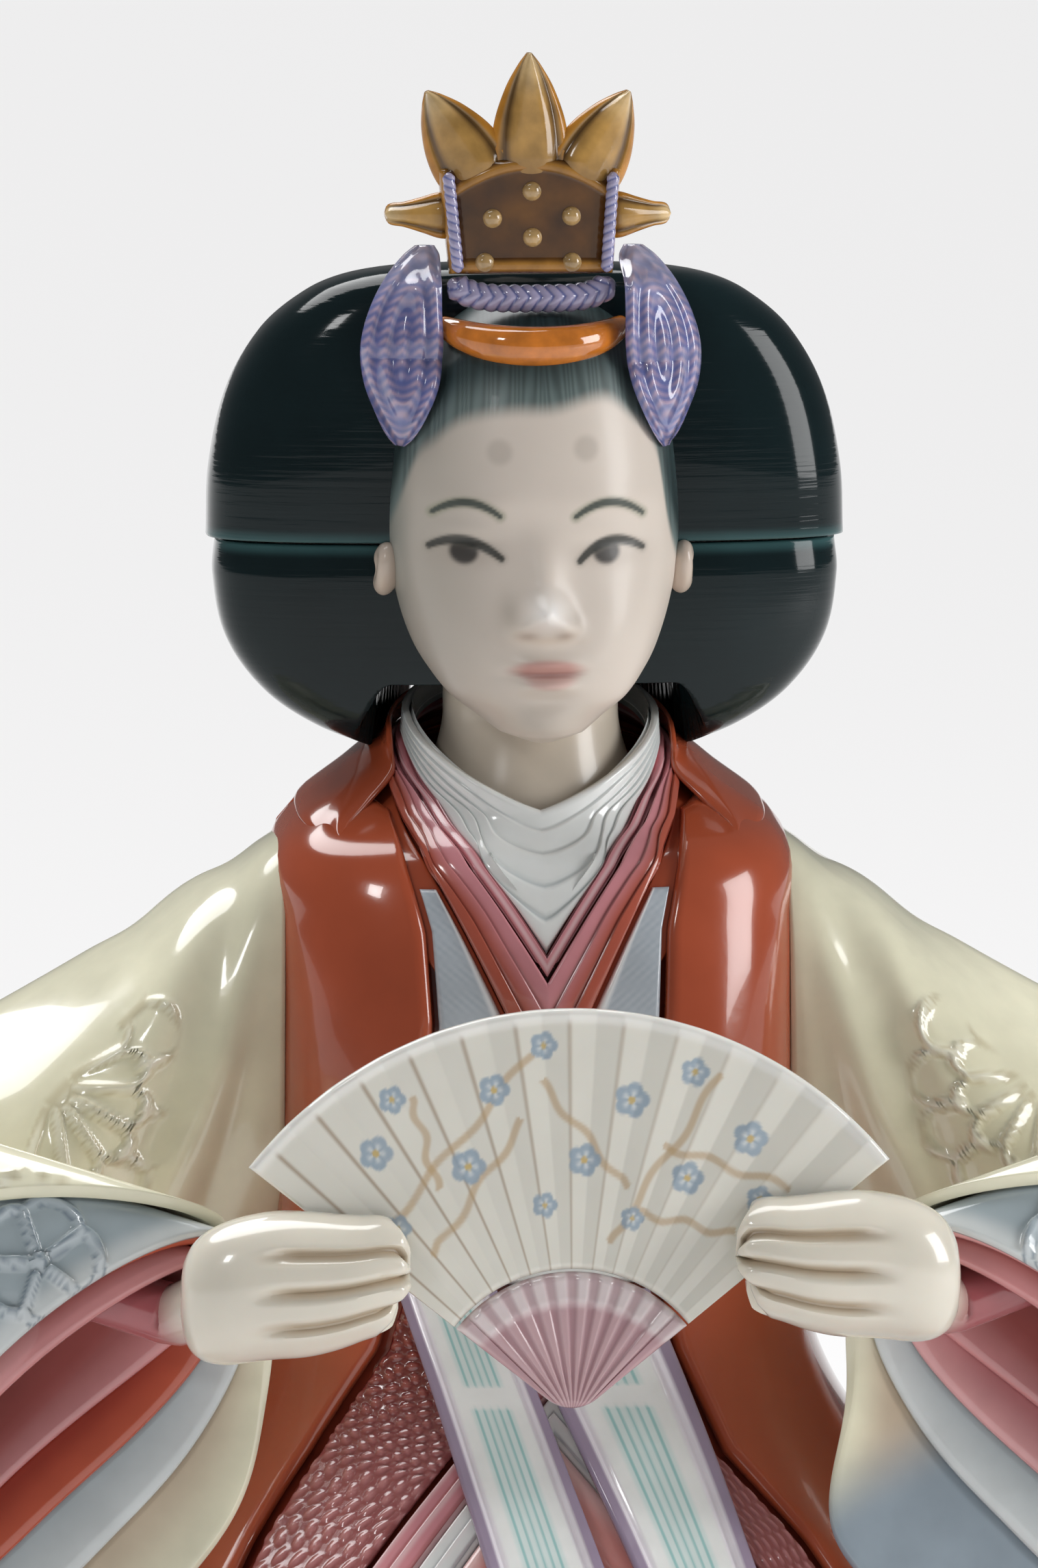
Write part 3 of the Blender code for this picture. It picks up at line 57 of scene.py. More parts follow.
def row_at(table, level):
    """The rows of a table at many levels, on a smooth curve through its own rows."""
    table, level = np.asarray(table, float), np.asarray(level, float)
    last = len(table) - 1
    k = np.clip(np.searchsorted(table[:, 0], level) - 1, 0, last - 1)
    low, high = table[k], table[k + 1]
    before, after = table[np.maximum(k - 1, 0)], table[np.minimum(k + 2, last)]
    span = high[:, :1] - low[:, :1]
    t = (level[:, None] - low[:, :1]) / span
    leaving = (high - before)[:, 1:] / (high - before)[:, :1] * span
    arriving = (after - low)[:, 1:] / (after - low)[:, :1] * span
    return ((2 * t ** 3 - 3 * t ** 2 + 1) * low[:, 1:] + (t ** 3 - 2 * t ** 2 + t) * leaving
            + (3 * t ** 2 - 2 * t ** 3) * high[:, 1:] + (t ** 3 - t ** 2) * arriving)


def power(value, exponent):
    """A power that keeps the sign, for rings that lie between a circle and a square."""
    return np.sign(value) * np.abs(value) ** exponent


def smooth(low, high, value):
    """From 0 at low to 1 at high, level at both; it runs the other way when low is larger."""
    t = np.clip((value - low) / (high - low), 0, 1)
    return t * t * (3 - 2 * t)


def mix(a, b, share):
    """Colours or numbers part of the way from a to b."""
    share = np.asarray(share)[:, None]
    return np.asarray(a) * (1 - share) + np.asarray(b) * share


def there_and_back(s, ease):
    """Runs from 1 to -1 and back, nearly evenly, for sections that are flat and wide."""
    half = np.where(s < 0.5, 2 * s, 2 - 2 * s)
    return ease * np.cos(math.pi * half) + (1 - ease) * (1 - 2 * half)


def hill(x, z, centre, radius):
    """A soft mound: 1 at its middle, nearly 0 at twice its radius."""
    return np.exp(-((x - centre[0]) / radius[0]) ** 2 - ((z - centre[1]) / radius[1]) ** 2)


def drawn_in(t, share):
    """1 along a closed shape, and rounded down to 0 at its poles over a share of its length."""
    return np.sqrt(np.clip(np.minimum(t, 1 - t) / share, 0, 1))


def inside(t, share):
    """From 0 to 1 along a shape, between caps that take a share of it at each end."""
    return np.clip((t - share) / (1 - 2 * share), 0, 1)


SIDES = (("left", -1), ("right", 1))
print("halfway from 1 to 3:", mix([1.0], [3.0], [0.5])[0, 0])

# %% [markdown]
# ## From a flat grid to a piece
# Each piece starts as a primitive grid. Its points are moved onto the piece's own surface, the
# seams and poles are merged, and a thin sheet gets its wall from the Solidify modifier. A grid
# keeps its UV map, so painted stripes can follow the cloth however it is draped.


# %% Placing a grid
MERGE = 0.000002


def grid(name, across, along, place, paint=None):
    """A grid whose points go where place says, painted point by point where paint is given."""
    bpy.ops.object.select_all(action="DESELECT")
    bpy.ops.mesh.primitive_grid_add(x_subdivisions=across, y_subdivisions=along, size=1)
    piece = bpy.context.object
    piece.name = piece.data.name = name
    spots = np.empty(len(piece.data.vertices) * 3)
    piece.data.vertices.foreach_get("co", spots)
    s, t = spots.reshape(-1, 3)[:, 0] + 0.5, spots.reshape(-1, 3)[:, 1] + 0.5
    points = place(s, t)
    piece.data.vertices.foreach_set("co", points.ravel())
    if paint is not None:
        colours = np.ones((len(s), 4))
        colours[:, :3] = np.clip(paint(s, t, points), 0, 1)
        layer = piece.data.color_attributes.new("paint", "FLOAT_COLOR", "POINT")
        layer.data.foreach_set("color", colours.ravel())
    piece.data.update()
    return piece


def edit_all(operator, **settings):
    """Runs one mesh operator on the whole of the active piece."""
    bpy.ops.object.mode_set(mode="EDIT")
    bpy.ops.mesh.select_all(action="SELECT")
    operator(**settings)
    bpy.ops.object.mode_set(mode="OBJECT")


def closed(piece):
    """Merges the seams and poles of a shape that closes on itself, and turns it outwards."""
    edit_all(bpy.ops.mesh.remove_doubles, threshold=MERGE)
    mesh = piece.data
    mesh.calc_loop_triangles()
    spots = np.empty(len(mesh.vertices) * 3)
    mesh.vertices.foreach_get("co", spots)
    corners = np.empty(len(mesh.loop_triangles) * 3, int)
    mesh.loop_triangles.foreach_get("vertices", corners)
    a, b, c = spots.reshape(-1, 3)[corners.reshape(-1, 3)].transpose(1, 0, 2)
    if np.einsum("ij,ij->i", a, np.cross(b, c)).sum() < 0:
        edit_all(bpy.ops.mesh.flip_normals)
    mesh.shade_smooth()
    return piece


def apply(piece, kind, **settings):
    """Adds a modifier to the active piece and applies it."""
    step = piece.modifiers.new(kind.title(), kind)
    for key, value in settings.items():
        setattr(step, key, value)
    bpy.ops.object.modifier_apply(modifier=step.name)


RIM_COLUMNS = np.array([0, 0.12, 0.45, 1.0])


def packed(share, count, edge):
    """Moves the first and last few columns of a grid into its rim, where the edge rounds over."""
    near = np.arange(len(RIM_COLUMNS)) / count
    rim = edge * RIM_COLUMNS
    return np.interp(share, np.append(near, 1 - near[::-1]), np.append(rim, 1 - rim[::-1]))


def rounding(share, edge):
    """From 0 on the very edge to 1 inside the rim, along a quarter circle."""
    depth = np.clip(np.minimum(share, 1 - share) / edge, 0, 1)
    return np.sqrt(1 - (1 - depth) ** 2)


def sheet(name, across, along, spot, layer, edges=(0.02, 0.02), relief=None, paint=None,
          ring=False):
    """A thin glazed layer: spot gives a place from two shares and a height off what is under.

    The layer is its height and thickness in metres, and the edges are its two rounded rims as
    shares of its size. A ring closes on itself, so it has rims at its foot and top only.
    """
    lift, thick = layer

    def shares(s, t):
        return s if ring else packed(s, across, edges[0]), packed(t, along, edges[1])

    def place(s, t):
        s, t = shares(s, t)
        fall = rounding(t, edges[1])
        if not ring:
            fall = np.minimum(rounding(s, edges[0]), fall)
        rise = relief(s, t) if relief else 0.0
        return spot(s, t, lift + rise - 0.7 * thick * (1 - fall))

    def tint(s, t, points):
        return paint(*shares(s, t), points)
    piece = grid(name, across, along, place, tint if paint else None)
    middle = np.full(1, 0.52)
    there = spot(middle, middle, lift)[0]
    outwards = spot(middle, middle, lift + 0.001)[0] - there
    faces = piece.data.polygons
    centres, normals = np.empty((2, len(faces) * 3))
    faces.foreach_get("center", centres)
    faces.foreach_get("normal", normals)
    nearest = np.linalg.norm(centres.reshape(-1, 3) - there, axis=1).argmin()
    if normals.reshape(-1, 3)[nearest] @ outwards < 0:
        edit_all(bpy.ops.mesh.flip_normals)
    if ring:
        edit_all(bpy.ops.mesh.remove_doubles, threshold=MERGE)
    apply(piece, "SOLIDIFY", thickness=thick, offset=-1.0)
    piece.data.shade_smooth()
    return piece


print("a rim of 0.02 starts with columns at", packed(np.arange(4) / 40, 40, 0.02).round(4))

# %% [markdown]
# ## Glazes
# Fired glaze is a clear glassy coat over a body colour. It is never quite even and carries faint
# specks. The Principled shader's base colour takes slow noise for that, a very fine bump breaks up
# the reflections, and a clear coat gives the sharp window of light that marks porcelain. Darker
# hollows and paler ridges on the painted pieces are painted shade and painted highlight.


# %% One recipe for every glaze
def add_node(tree, kind, **inputs):
    """A new shader node with its constant inputs, whose names are written with underscores."""
    node = tree.nodes.new("ShaderNode" + kind)
    for name, value in inputs.items():
        node.inputs[name.replace("_", " ")].default_value = value
    return node


def glaze(name, colour=None, rough=0.16, cloud=0.08, size=90.0, pits=0.06, coat=0.6, scatter=0.0,
          gloss_level=0.5):
    """A glaze of one colour, or of the colours painted on the piece where none is given."""
    made = bpy.data.materials.new(name)
    made.use_nodes = True
    tree = made.node_tree
    link, shader = tree.links.new, tree.nodes["Principled BSDF"]
    spots = add_node(tree, "TexCoord").outputs["Object"]
    slow = add_node(tree, "TexNoise", Scale=size, Detail=4.0)
    link(spots, slow.inputs["Vector"])
    shade = add_node(tree, "MapRange", From_Min=0.3, From_Max=0.7, To_Min=1 - cloud, To_Max=1 + cloud)
    link(slow.outputs["Fac"], shade.inputs["Value"])
    toned = add_node(tree, "VectorMath")
    toned.operation = "SCALE"
    link(shade.outputs["Result"], toned.inputs["Scale"])
    if colour is None:
        painted = add_node(tree, "Attribute")
        painted.attribute_name = "paint"
        link(painted.outputs["Color"], toned.inputs[0])
    else:
        toned.inputs[0].default_value = colour
    link(toned.outputs["Vector"], shader.inputs["Base Color"])
    gloss = add_node(tree, "MapRange", To_Min=rough * 0.7, To_Max=rough * 1.3)
    link(slow.outputs["Fac"], gloss.inputs["Value"])
    link(gloss.outputs["Result"], shader.inputs["Roughness"])
    fine = add_node(tree, "TexNoise", Scale=420.0)
    link(spots, fine.inputs["Vector"])
    bump = add_node(tree, "Bump", Strength=pits, Distance=0.0003)
    link(fine.outputs["Fac"], bump.inputs["Height"])
    link(bump.outputs["Normal"], shader.inputs["Normal"])
    shader.inputs["Coat Weight"].default_value = coat
    shader.inputs["Coat Roughness"].default_value = 0.03
    shader.inputs["Specular IOR Level"].default_value = gloss_level
    shader.inputs["Subsurface Weight"].default_value = scatter
    shader.inputs["Subsurface Radius"].default_value = (0.004, 0.0025, 0.0018)
    return made


def finish_piece(piece, material, body, slot, *nodes):
    """Gives a piece its glaze, its body and the nodes that it stands for."""
    piece.data.materials.clear()
    piece.data.materials.append(material)
    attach(piece, body)
    if nodes:
        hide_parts(*nodes)
    print(piece.name, len(piece.data.polygons), "faces")


CREAM, COAT, LINING = (0.86, 0.83, 0.63), (0.44, 0.085, 0.034), (0.16, 0.022, 0.018)
PINK, DEEP_PINK, CORAL = (0.66, 0.27, 0.30), (0.50, 0.13, 0.13), (0.72, 0.30, 0.27)
WHITE, GREY_BLUE, PURPLE = (0.84, 0.86, 0.84), (0.44, 0.50, 0.56), (0.20, 0.13, 0.24)
SKIN, HAIR, CYAN = (0.71, 0.63, 0.555), (0.006, 0.014, 0.016), (0.28, 0.55, 0.54)

coat_glaze = glaze("orange_red_glaze", COAT, cloud=0.06, scatter=0.04)
white_glaze = glaze("white_glaze", WHITE, scatter=0.12)
painted_glaze = glaze("painted_glaze", None, scatter=0.05)
painted_porcelain = glaze("painted_porcelain", None, rough=0.2, cloud=0.03, pits=0.03, coat=0.35,
                          scatter=0.18)
print(len(bpy.data.materials), "materials with the model's own")

# %% [markdown]
# ## The robes' own surface
# All layers of cloth lie on one body: narrow at the waist, flared over the lap and nearly square
# at the shoulders. A place on it is a turn round the figure and a level, and every layer adds
# its own height off that surface.

# %% The body under the layers
# Level, half-width, how far the front and the back reach, forward tilt, squareness of the ring
ROBE = (
    (0.00, 1.160, 0.910, 1.020, 0.000, 2.6), (0.12, 1.170, 0.920, 1.040, 0.000, 2.6),
    (0.35, 0.980, 0.850, 0.890, 0.000, 2.5), (0.60, 0.700, 0.635, 0.590, 0.000, 2.4),
    (0.80, 0.480, 0.460, 0.415, 0.000, 2.5), (0.98, 0.380, 0.360, 0.320, 0.000, 2.8),
    (1.20, 0.350, 0.320, 0.280, 0.000, 3.0), (1.45, 0.350, 0.290, 0.270, 0.000, 3.0),
    (1.60, 0.352, 0.260, 0.265, 0.008, 3.0), (1.70, 0.342, 0.225, 0.245, 0.028, 2.9),
    (1.76, 0.248, 0.188, 0.212, 0.050, 2.5), (1.80, 0.188, 0.170, 0.182, 0.060, 2.1),
    (1.84, 0.168, 0.165, 0.168, 0.062, 2.0), (1.92, 0.162, 0.162, 0.162, 0.062, 2.0),
)
# Level, and how far across the front edge lies on the left and on the right
COAT_EDGE = (
    (0.05, 0.86, 0.86), (0.35, 0.66, 0.63), (0.60, 0.50, 0.44), (0.73, 0.42, 0.35),
    (0.85, 0.335, 0.24), (1.00, 0.238, 0.172), (1.10, 0.210, 0.153), (1.46, 0.160, 0.166),
    (1.60, 0.168, 0.172), (1.80, 0.215, 0.210),
)


def robe_plain(turn, level):
    """A place on the bare body: a turn from the front round towards +X, and a level of the table."""
    wide, front, back, tilt, square = row_at(ROBE, level).T
    across = power(np.sin(turn), 2 / square)
    ahead = power(np.cos(turn), 2 / square)
    middle, half_depth = (back - front) / 2, (back + front) / 2
    return np.stack([wide * across * KNEE, (middle - half_depth * ahead) * REACH,
                     (level - tilt * ahead) * LAP], axis=1)


def robe_point(turn, level, lift):
    """The place that stands off the body by a lift, square to its surface."""
    near = 0.004
    sideways = robe_plain(turn + near, level) - robe_plain(turn - near, level)
    upwards = robe_plain(turn, level + near) - robe_plain(turn, level - near)
    out = np.cross(sideways, upwards)
    out /= np.linalg.norm(out, axis=1)[:, None]
    return robe_plain(turn, level) + out * np.broadcast_to(lift, level.shape)[:, None]


def turn_at(across, level):
    """The turn at which the body is this far across, in the table's units."""
    wide, square = row_at(ROBE, level)[:, (0, 4)].T
    return np.sign(across) * np.arcsin(np.minimum(np.abs(across) / wide, 1) ** (square / 2))


def coat_edge(level, side):
    """How far across the coat's front edge lies at a level."""
    table = np.array(COAT_EDGE)
    return side * np.interp(level, table[:, 0], table[:, 2 if side > 0 else 1])


# Each layer's height off the robes and its thickness, in metres
LAYERS = {
    "coat": (0.0030, 0.0024), "neck_edge": (0.0029, 0.0009), "underlap": (0.0013, 0.0007),
    "collar_white": (0.0022, 0.0016), "collar_pink": (0.0027, 0.0016),
    "collar_red": (0.0032, 0.0016), "lapel": (0.0024, 0.0018), "belt": (0.0022, 0.0016),
    "hem": (0.0024, 0.0014), "coral_hem": (0.0022, 0.0012), "brocade": (0.0022, 0.0012),
    "sash_left": (0.0047, 0.0016), "sash_right": (0.0049, 0.0016), "train": (0.0058, 0.0018),
}
print("half-width at the lap in mm:", round(robe_plain(np.array([math.pi / 2]),
                                                       np.array([0.98]))[0, 0] * 1000, 1))

# %% [markdown]
# ## The coat
# The outer coat is a plain orange-red glaze whose front edges roll over softly. It is three
# pieces: a panel on each side of the opening and one round the back.

# %% Coat panels
COAT_FOOT, COAT_TOP, SIDE_SEAM = 0.02, 1.770, math.radians(100)


def coat_front(side):
    def spot(s, t, lift):
        level = COAT_FOOT + (COAT_TOP - COAT_FOOT) * t
        inner = turn_at(coat_edge(level, side), level)
        return robe_point(inner + (side * SIDE_SEAM - inner) * s, level, lift)
    return spot


def coat_back(s, t, lift):
    level = COAT_FOOT + (COAT_TOP - COAT_FOOT) * t
    return robe_point(SIDE_SEAM + (math.tau - 2 * SIDE_SEAM) * s, level, lift)


for label, side in SIDES:
    panel = sheet("coat_front_" + label, 76, 126, coat_front(side), LAYERS["coat"], (0.030, 0.010))
    finish_piece(panel, coat_glaze, "figure", "coat_glaze", "coat_" + label)
panel = sheet("coat_round_back", 120, 96, coat_back, LAYERS["coat"], (0.006, 0.010))
finish_piece(panel, coat_glaze, "figure", "coat_glaze", "coat_back")


# %% [markdown]
# ## The coat's edge round the neck
# Between the shoulder and the nape the coat's edge stands up beside the collars. On a cast figure
# it is a strip of clay laid on and smoothed down. It starts as a thin wedge on the shoulder and
# rises towards the nape, because the panels stop below the level where the neck draws in. Under
# it the model's own core shows in a few narrow gaps, so that gets a shaded red of its own.

# %% Neck edge, and the core's glaze
NECK_EDGE_FOOT = 1.715


def neck_edge(side):
    """The coat's folded edge from the shoulder round to the nape, beside the collars."""
    def spot(s, t, lift):
        turn = side * np.radians(52 + 93 * s)
        top = 1.719 + 0.145 * smooth(0.0, 0.42, s)
        raised = 0.0017 * smooth(0.0, 0.35, s) - 0.0010 * smooth(0.50, 0.0, t)
        return robe_point(turn, NECK_EDGE_FOOT + (top - NECK_EDGE_FOOT) * t, lift + raised)
    return spot


for label, side in SIDES:
    edge = sheet("coat_neck_edge_" + label, 90, 24, neck_edge(side), LAYERS["neck_edge"], (0.02, 0.06))
    finish_piece(edge, coat_glaze, "figure", "coat_glaze")
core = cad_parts["robe_body"]
core.data.materials.clear()
core.data.materials.append(glaze("shaded_coat_red", (0.27, 0.045, 0.024)))
print(core.name, "keeps its shape from the model and gets a shaded red")

# %% [markdown]
# ## Collars
# Under the coat the collars cross in a V. They could be cast with the body, with their creases cut
# in afterwards. Here each is a ring of its own: the white one is pressed into five folds, the pink
# one is a narrow roll, and the red one has three folds and fades from pink to red.

# %% Collars
COLLARS = {
    "collar_white": ((1.820, 1.885, 1.875), (1.566, 1.845, 1.835)),
    "collar_pink": ((1.558, 1.838, 1.828), (1.530, 1.822, 1.812)),
    "collar_red": ((1.522, 1.815, 1.805), (1.350, 1.788, 1.785)),
}


def collar_line(place, edge):
    """Turns and levels along a collar's edge: -2 and 2 are the nape, -1 and 1 the sides, 0 the V."""
    middle, beside, nape = edge
    away = np.abs(place)
    level = np.where(away > 1, beside + (nape - beside) * (away - 1),
                     middle + (beside - middle) * away)
    reach = row_at(ROBE, np.full(len(place), beside))[:, 0] * np.minimum(away, 1)
    front = turn_at(reach, level)
    return np.sign(place) * np.where(away > 1, math.pi / 2 * away, front), level


def collar_spot(upper, lower):
    def spot(s, t, lift):
        place = -2 + 4 * s
        turn_a, level_a = collar_line(place, upper)
        turn_b, level_b = collar_line(place, lower)
        return robe_point(turn_a + (turn_b - turn_a) * t, level_a + (level_b - level_a) * t, lift)
    return spot


def folds(count, height):
    """Relief of steps that overlap like pleats, each rounded off towards the next."""
    def relief(s, t):
        step = (t * count) % 1
        return height * (np.sqrt(np.clip(1 - step, 0, 1)) - 0.5)
    return relief


def white_paint(s, t, points):
    # Painted shade in the creases between the white collar's folds
    crease_shade = smooth(0.78, 1.0, (t * 5) % 1)
    return mix(WHITE, (0.55, 0.60, 0.60), crease_shade * 0.8)


def pink_paint(s, t, points):
    # Painted highlight along the middle of the pink roll
    return mix(PINK, (0.80, 0.52, 0.54), smooth(0.2, 0.5, t) * smooth(0.9, 0.6, t))


def red_paint(s, t, points):
    # Painted shade in the creases between the folds; the fade from pink to red is the collar's own
    # colour
    crease_shade = smooth(0.75, 1.0, (t * 3) % 1)
    return mix(mix(PINK, (0.46, 0.10, 0.06), smooth(0.1, 0.7, t)), LINING, crease_shade * 0.5)


for name, count, paint, slot in (("collar_white", 5, white_paint, "white_glaze"),
                                 ("collar_pink", 1, pink_paint, "pink_glaze"),
                                 ("collar_red", 3, red_paint, "coat_glaze")):
    collar = sheet(name + "_folds", 240, 46 if count > 1 else 16, collar_spot(*COLLARS[name]),
                   LAYERS[name], (0.01, 0.04), folds(count, 0.0006 if count > 1 else 0.0002),
                   paint, ring=True)
    finish_piece(collar, painted_glaze, "figure", slot, name)


# %% [markdown]
# ## Underlap, lapels and belt
# Below the red collar a strip of the same robe fills the opening. A lapel of grey-blue brocade
# stands on either side with a bright line along its edge, and a white belt holds the robes behind
# the fan. All are thin flat layers, so each is a sheet between two curves on the body. The weave
# is far finer than relief could show at this size and is painted.

# %% Underlap, lapels and belt
underlap = sheet("robe_underlap", 160, 12,
                 collar_spot(COLLARS["collar_red"][1], (1.290, 1.740, 1.740)), LAYERS["underlap"],
                 (0.01, 0.04), ring=True)
finish_piece(underlap, coat_glaze, "figure", "coat_glaze")


LAYER_GAP = 0.007  # between neighbours on the body, in the table's units


def lapel_spot(side):
    middle, beside, _ = COLLARS["collar_red"][1]

    def spot(s, t, lift):
        level = 1.172 + 0.495 * t
        reach = row_at(ROBE, np.full(len(s), beside))[:, 0]
        inner = np.maximum((level - middle) / (beside - middle) * reach, 0) + LAYER_GAP
        outer = np.abs(coat_edge(level, side)) - LAYER_GAP
        inner = np.minimum(inner, outer - LAYER_GAP)
        return robe_point(turn_at(side * (inner + (outer - inner) * s), level), level, lift)
    return spot


def lapel_paint(s, t, points):
    weave = 0.5 + 0.5 * np.sin(points[:, 0] * 4200) * np.sin(points[:, 2] * 4200)
    base = mix(GREY_BLUE, (0.62, 0.66, 0.70), weave * 0.6)
    return mix(base, (0.92, 0.94, 0.95), smooth(0.20, 0.10, s))


def belt_spot(s, t, lift):
    level = 1.095 + 0.070 * t
    left, right = coat_edge(level, -1) + LAYER_GAP, coat_edge(level, 1) - LAYER_GAP
    return robe_point(turn_at(left + (right - left) * s, level), level, lift)


for label, side in SIDES:
    lapel = sheet("lapel_panel_" + label, 30, 80, lapel_spot(side), LAYERS["lapel"], (0.08, 0.02),
                  None, lapel_paint)
    finish_piece(lapel, painted_glaze, "figure", "grey_glaze", "lapel_" + label)
belt = sheet("sash_belt", 60, 16, belt_spot, LAYERS["belt"], (0.02, 0.12))
finish_piece(belt, white_glaze, "figure", "white_glaze", "sash_band")

# %% [markdown]
# ## Hems
# Below the belt the inner robes open in an inverted V: grooved pink, white and coral. A modeller
# rolls such folds from thin slabs. Here each hem is a sheet that follows one slope on both sides,
# with its grooves as relief, painted shade in the grooves and a painted highlight on each crest.

# %% Hems
HEM_EDGE, HEM_SLOPE, HEM_FOOT = 0.014, 1.14, 0.120


def hem_reach(side, apex):
    """How far a hem runs before it meets the coat or the doll's foot, found by halving."""
    near, far = np.zeros(len(apex)), np.ones(len(apex))
    for _ in range(30):
        middle = (near + far) / 2
        level = apex - HEM_SLOPE * middle
        free = (level > HEM_FOOT) & (middle < np.abs(coat_edge(level, side)))
        near, far = np.where(free, middle, near), np.where(free, far, middle)
    return near


def hem_spot(top, foot):
    def spot(s, t, lift):
        apex = top + (foot - top) * t
        reach = np.where(s < 0.5, hem_reach(-1, apex), hem_reach(1, apex)) - HEM_EDGE
        across = np.abs(2 * s - 1) * reach
        level = apex - HEM_SLOPE * across
        return robe_point(turn_at(np.where(s < 0.5, -1, 1) * across, level), level, lift)
    return spot


def under_spot(s, t, lift):
    across = (2 * s - 1) * 0.64
    top = 0.873 - HEM_SLOPE * np.abs(across)
    level = top + (HEM_FOOT - top) * t
    return robe_point(turn_at(across, level), level, lift)


def hem_paint(light, dark, count):
    def paint(s, t, points):
        step = (t * count) % 1
        # Painted highlight on each crest, and painted shade where each step runs into the next
        crest_highlight = mix(light, (0.88, 0.80, 0.80), smooth(0.5, 0.1, step) * 0.4)
        return mix(crest_highlight, dark, smooth(0.7, 1.0, step) * 0.7)
    return paint


# Each hem's second colour is the painted shade for its grooves
for name, top, foot, light, dark, slot in (
        ("hem_pink", 1.008, 0.950, PINK, DEEP_PINK, "pink_glaze"),
        ("hem_white", 0.938, 0.885, WHITE, (0.55, 0.58, 0.62), "white_glaze")):
    hem = sheet(name + "_folds", 160, 30, hem_spot(top, foot), LAYERS["hem"], (0.01, 0.08),
                folds(2, 0.0006), hem_paint(light, dark, 2))
    finish_piece(hem, painted_glaze, "figure", slot, name)
# The coral hem's darker red is the painted shade for its grooves
hem = sheet("hem_coral_folds", 140, 76, under_spot, LAYERS["coral_hem"], (0.01, 0.02),
            folds(7, 0.0005), hem_paint(CORAL, (0.52, 0.14, 0.12), 7))
finish_piece(hem, painted_glaze, "figure", "coral_glaze", "hem_coral")

# %% [markdown]
# ## Brocade
# A strip of figured silk shows beside the coat. On the figure its pattern is a low stamped relief,
# dark at the top and rosier below. It is one sheet on both sides of the belt, narrowing to
# nothing under it, with the relief in the mesh so that every grain catches its own light.

# %% Brocade beside the coat
# Level, and the share of the way to the coat's edge, from the middle outwards and then down
BROCADE_OUTER = ((1.085, 0.0), (1.085, 0.5), (1.085, 1.0), (1.00, 1.0), (0.92, 1.0), (0.85, 1.0),
                 (0.73, 1.0), (0.60, 1.0), (0.48, 1.0), (0.35, 1.0), (0.22, 1.0), (0.13, 1.0))
BROCADE_RELIEF = 0.00030
BROCADE_INNER = (1.020, 0.995, 0.965, 0.92, 0.87, 0.82, 0.72, 0.60, 0.48, 0.35, 0.22, 0.13)


def brocade_spot(s, t, lift):
    place = 2 * s - 1
    steps = len(BROCADE_INNER) - 1
    k = np.abs(place) * steps
    table = np.array(BROCADE_OUTER)
    level = np.interp(k, np.arange(steps + 1), table[:, 0])
    reached = np.interp(k, np.arange(steps + 1), table[:, 1])
    inner_level = np.interp(k, np.arange(steps + 1), BROCADE_INNER)
    edge = np.where(place < 0, np.abs(coat_edge(level, -1)), np.abs(coat_edge(level, 1)))
    outer = (edge - HEM_EDGE) * reached
    inner = (BROCADE_INNER[0] - inner_level) / HEM_SLOPE
    across = outer + (inner - outer) * t
    height = level + (inner_level - level) * t
    return robe_point(turn_at(np.where(place < 0, -1, 1) * across, height), height, lift)


def brocade_weave(s, t):
    flowers = np.sin(s * 430) * np.sin(t * 40 + 1.3 * np.sin(s * 215))
    return BROCADE_RELIEF * smooth(-0.1, 0.6, flowers)


def brocade_paint(s, t, points):
    high = brocade_weave(s, t) / BROCADE_RELIEF
    upper = smooth(0.080, 0.100, points[:, 2])
    ground = mix((0.34, 0.10, 0.10), LINING, upper)
    # The raised pattern is painted lighter: partly the pattern's own colour, partly painted highlight
    petals = mix((0.56, 0.24, 0.24), (0.34, 0.08, 0.06), upper)
    return mix(ground, petals, high * 0.8)


strip = sheet("brocade_strip", 620, 58, brocade_spot, LAYERS["brocade"], (0.006, 0.05),
              brocade_weave, brocade_paint)
finish_piece(strip, painted_glaze, "figure", "lining_glaze", "brocade_front")

# %% [markdown]
# ## Sash ends
# Two ends of the sash hang over everything, white with fine blue-green lines between purple
# cords. They are flat slabs laid on last, so they stand highest. The cords along their edges are
# relief, and the woven lines are painted because real ones are flat too.

# %% Sash ends
# How far across each end starts and how fast it drifts: left edge, then right edge
STRIPS = {"left": (-0.205, 0.258, -0.076, 0.345), "right": (-0.070, 0.430, 0.134, 0.330)}


def strip_spot(edges):
    def spot(s, t, lift):
        drop = 0.788 * t
        start, end = edges[0] + edges[1] * drop, edges[2] + edges[3] * drop
        level = 1.088 - drop
        return robe_point(turn_at(start + (end - start) * s, level), level, lift)
    return spot


def cord_edge(s, t):
    rim = np.minimum(s, 1 - s)
    return 0.0006 * smooth(0.15, 0.10, rim) - 0.0003 * smooth(0.04, 0.0, np.abs(rim - 0.155))


def strip_paint(s, t, points):
    rim = np.minimum(s, 1 - s)
    middle, stretch = np.abs(s - 0.5), (t * 3.1 + 0.35) % 1
    lines = smooth(0.30, 0.80, np.cos((s - 0.5) * math.tau * 13.5)) * smooth(0.20, 0.18, middle)
    dash = smooth(0.03, 0.05, stretch) * smooth(0.93, 0.90, stretch)
    edge = smooth(0.120, 0.095, rim)
    wash = smooth(0.215, 0.17, middle) * dash
    body = mix(mix(WHITE, (0.55, 0.74, 0.72), wash * 0.55), CYAN, lines * dash * 0.85)
    body = mix(body, (0.80, 0.72, 0.82), smooth(0.22, 0.15, rim) * 0.6)
    return mix(body, PURPLE, edge * 0.8)


for label, edges in STRIPS.items():
    end = sheet("sash_end_" + label, 80, 150, strip_spot(edges), LAYERS["sash_" + label],
                (0.03, 0.01), cord_edge, strip_paint)
    finish_piece(end, painted_glaze, "figure", "white_glaze", "sash_" + label)

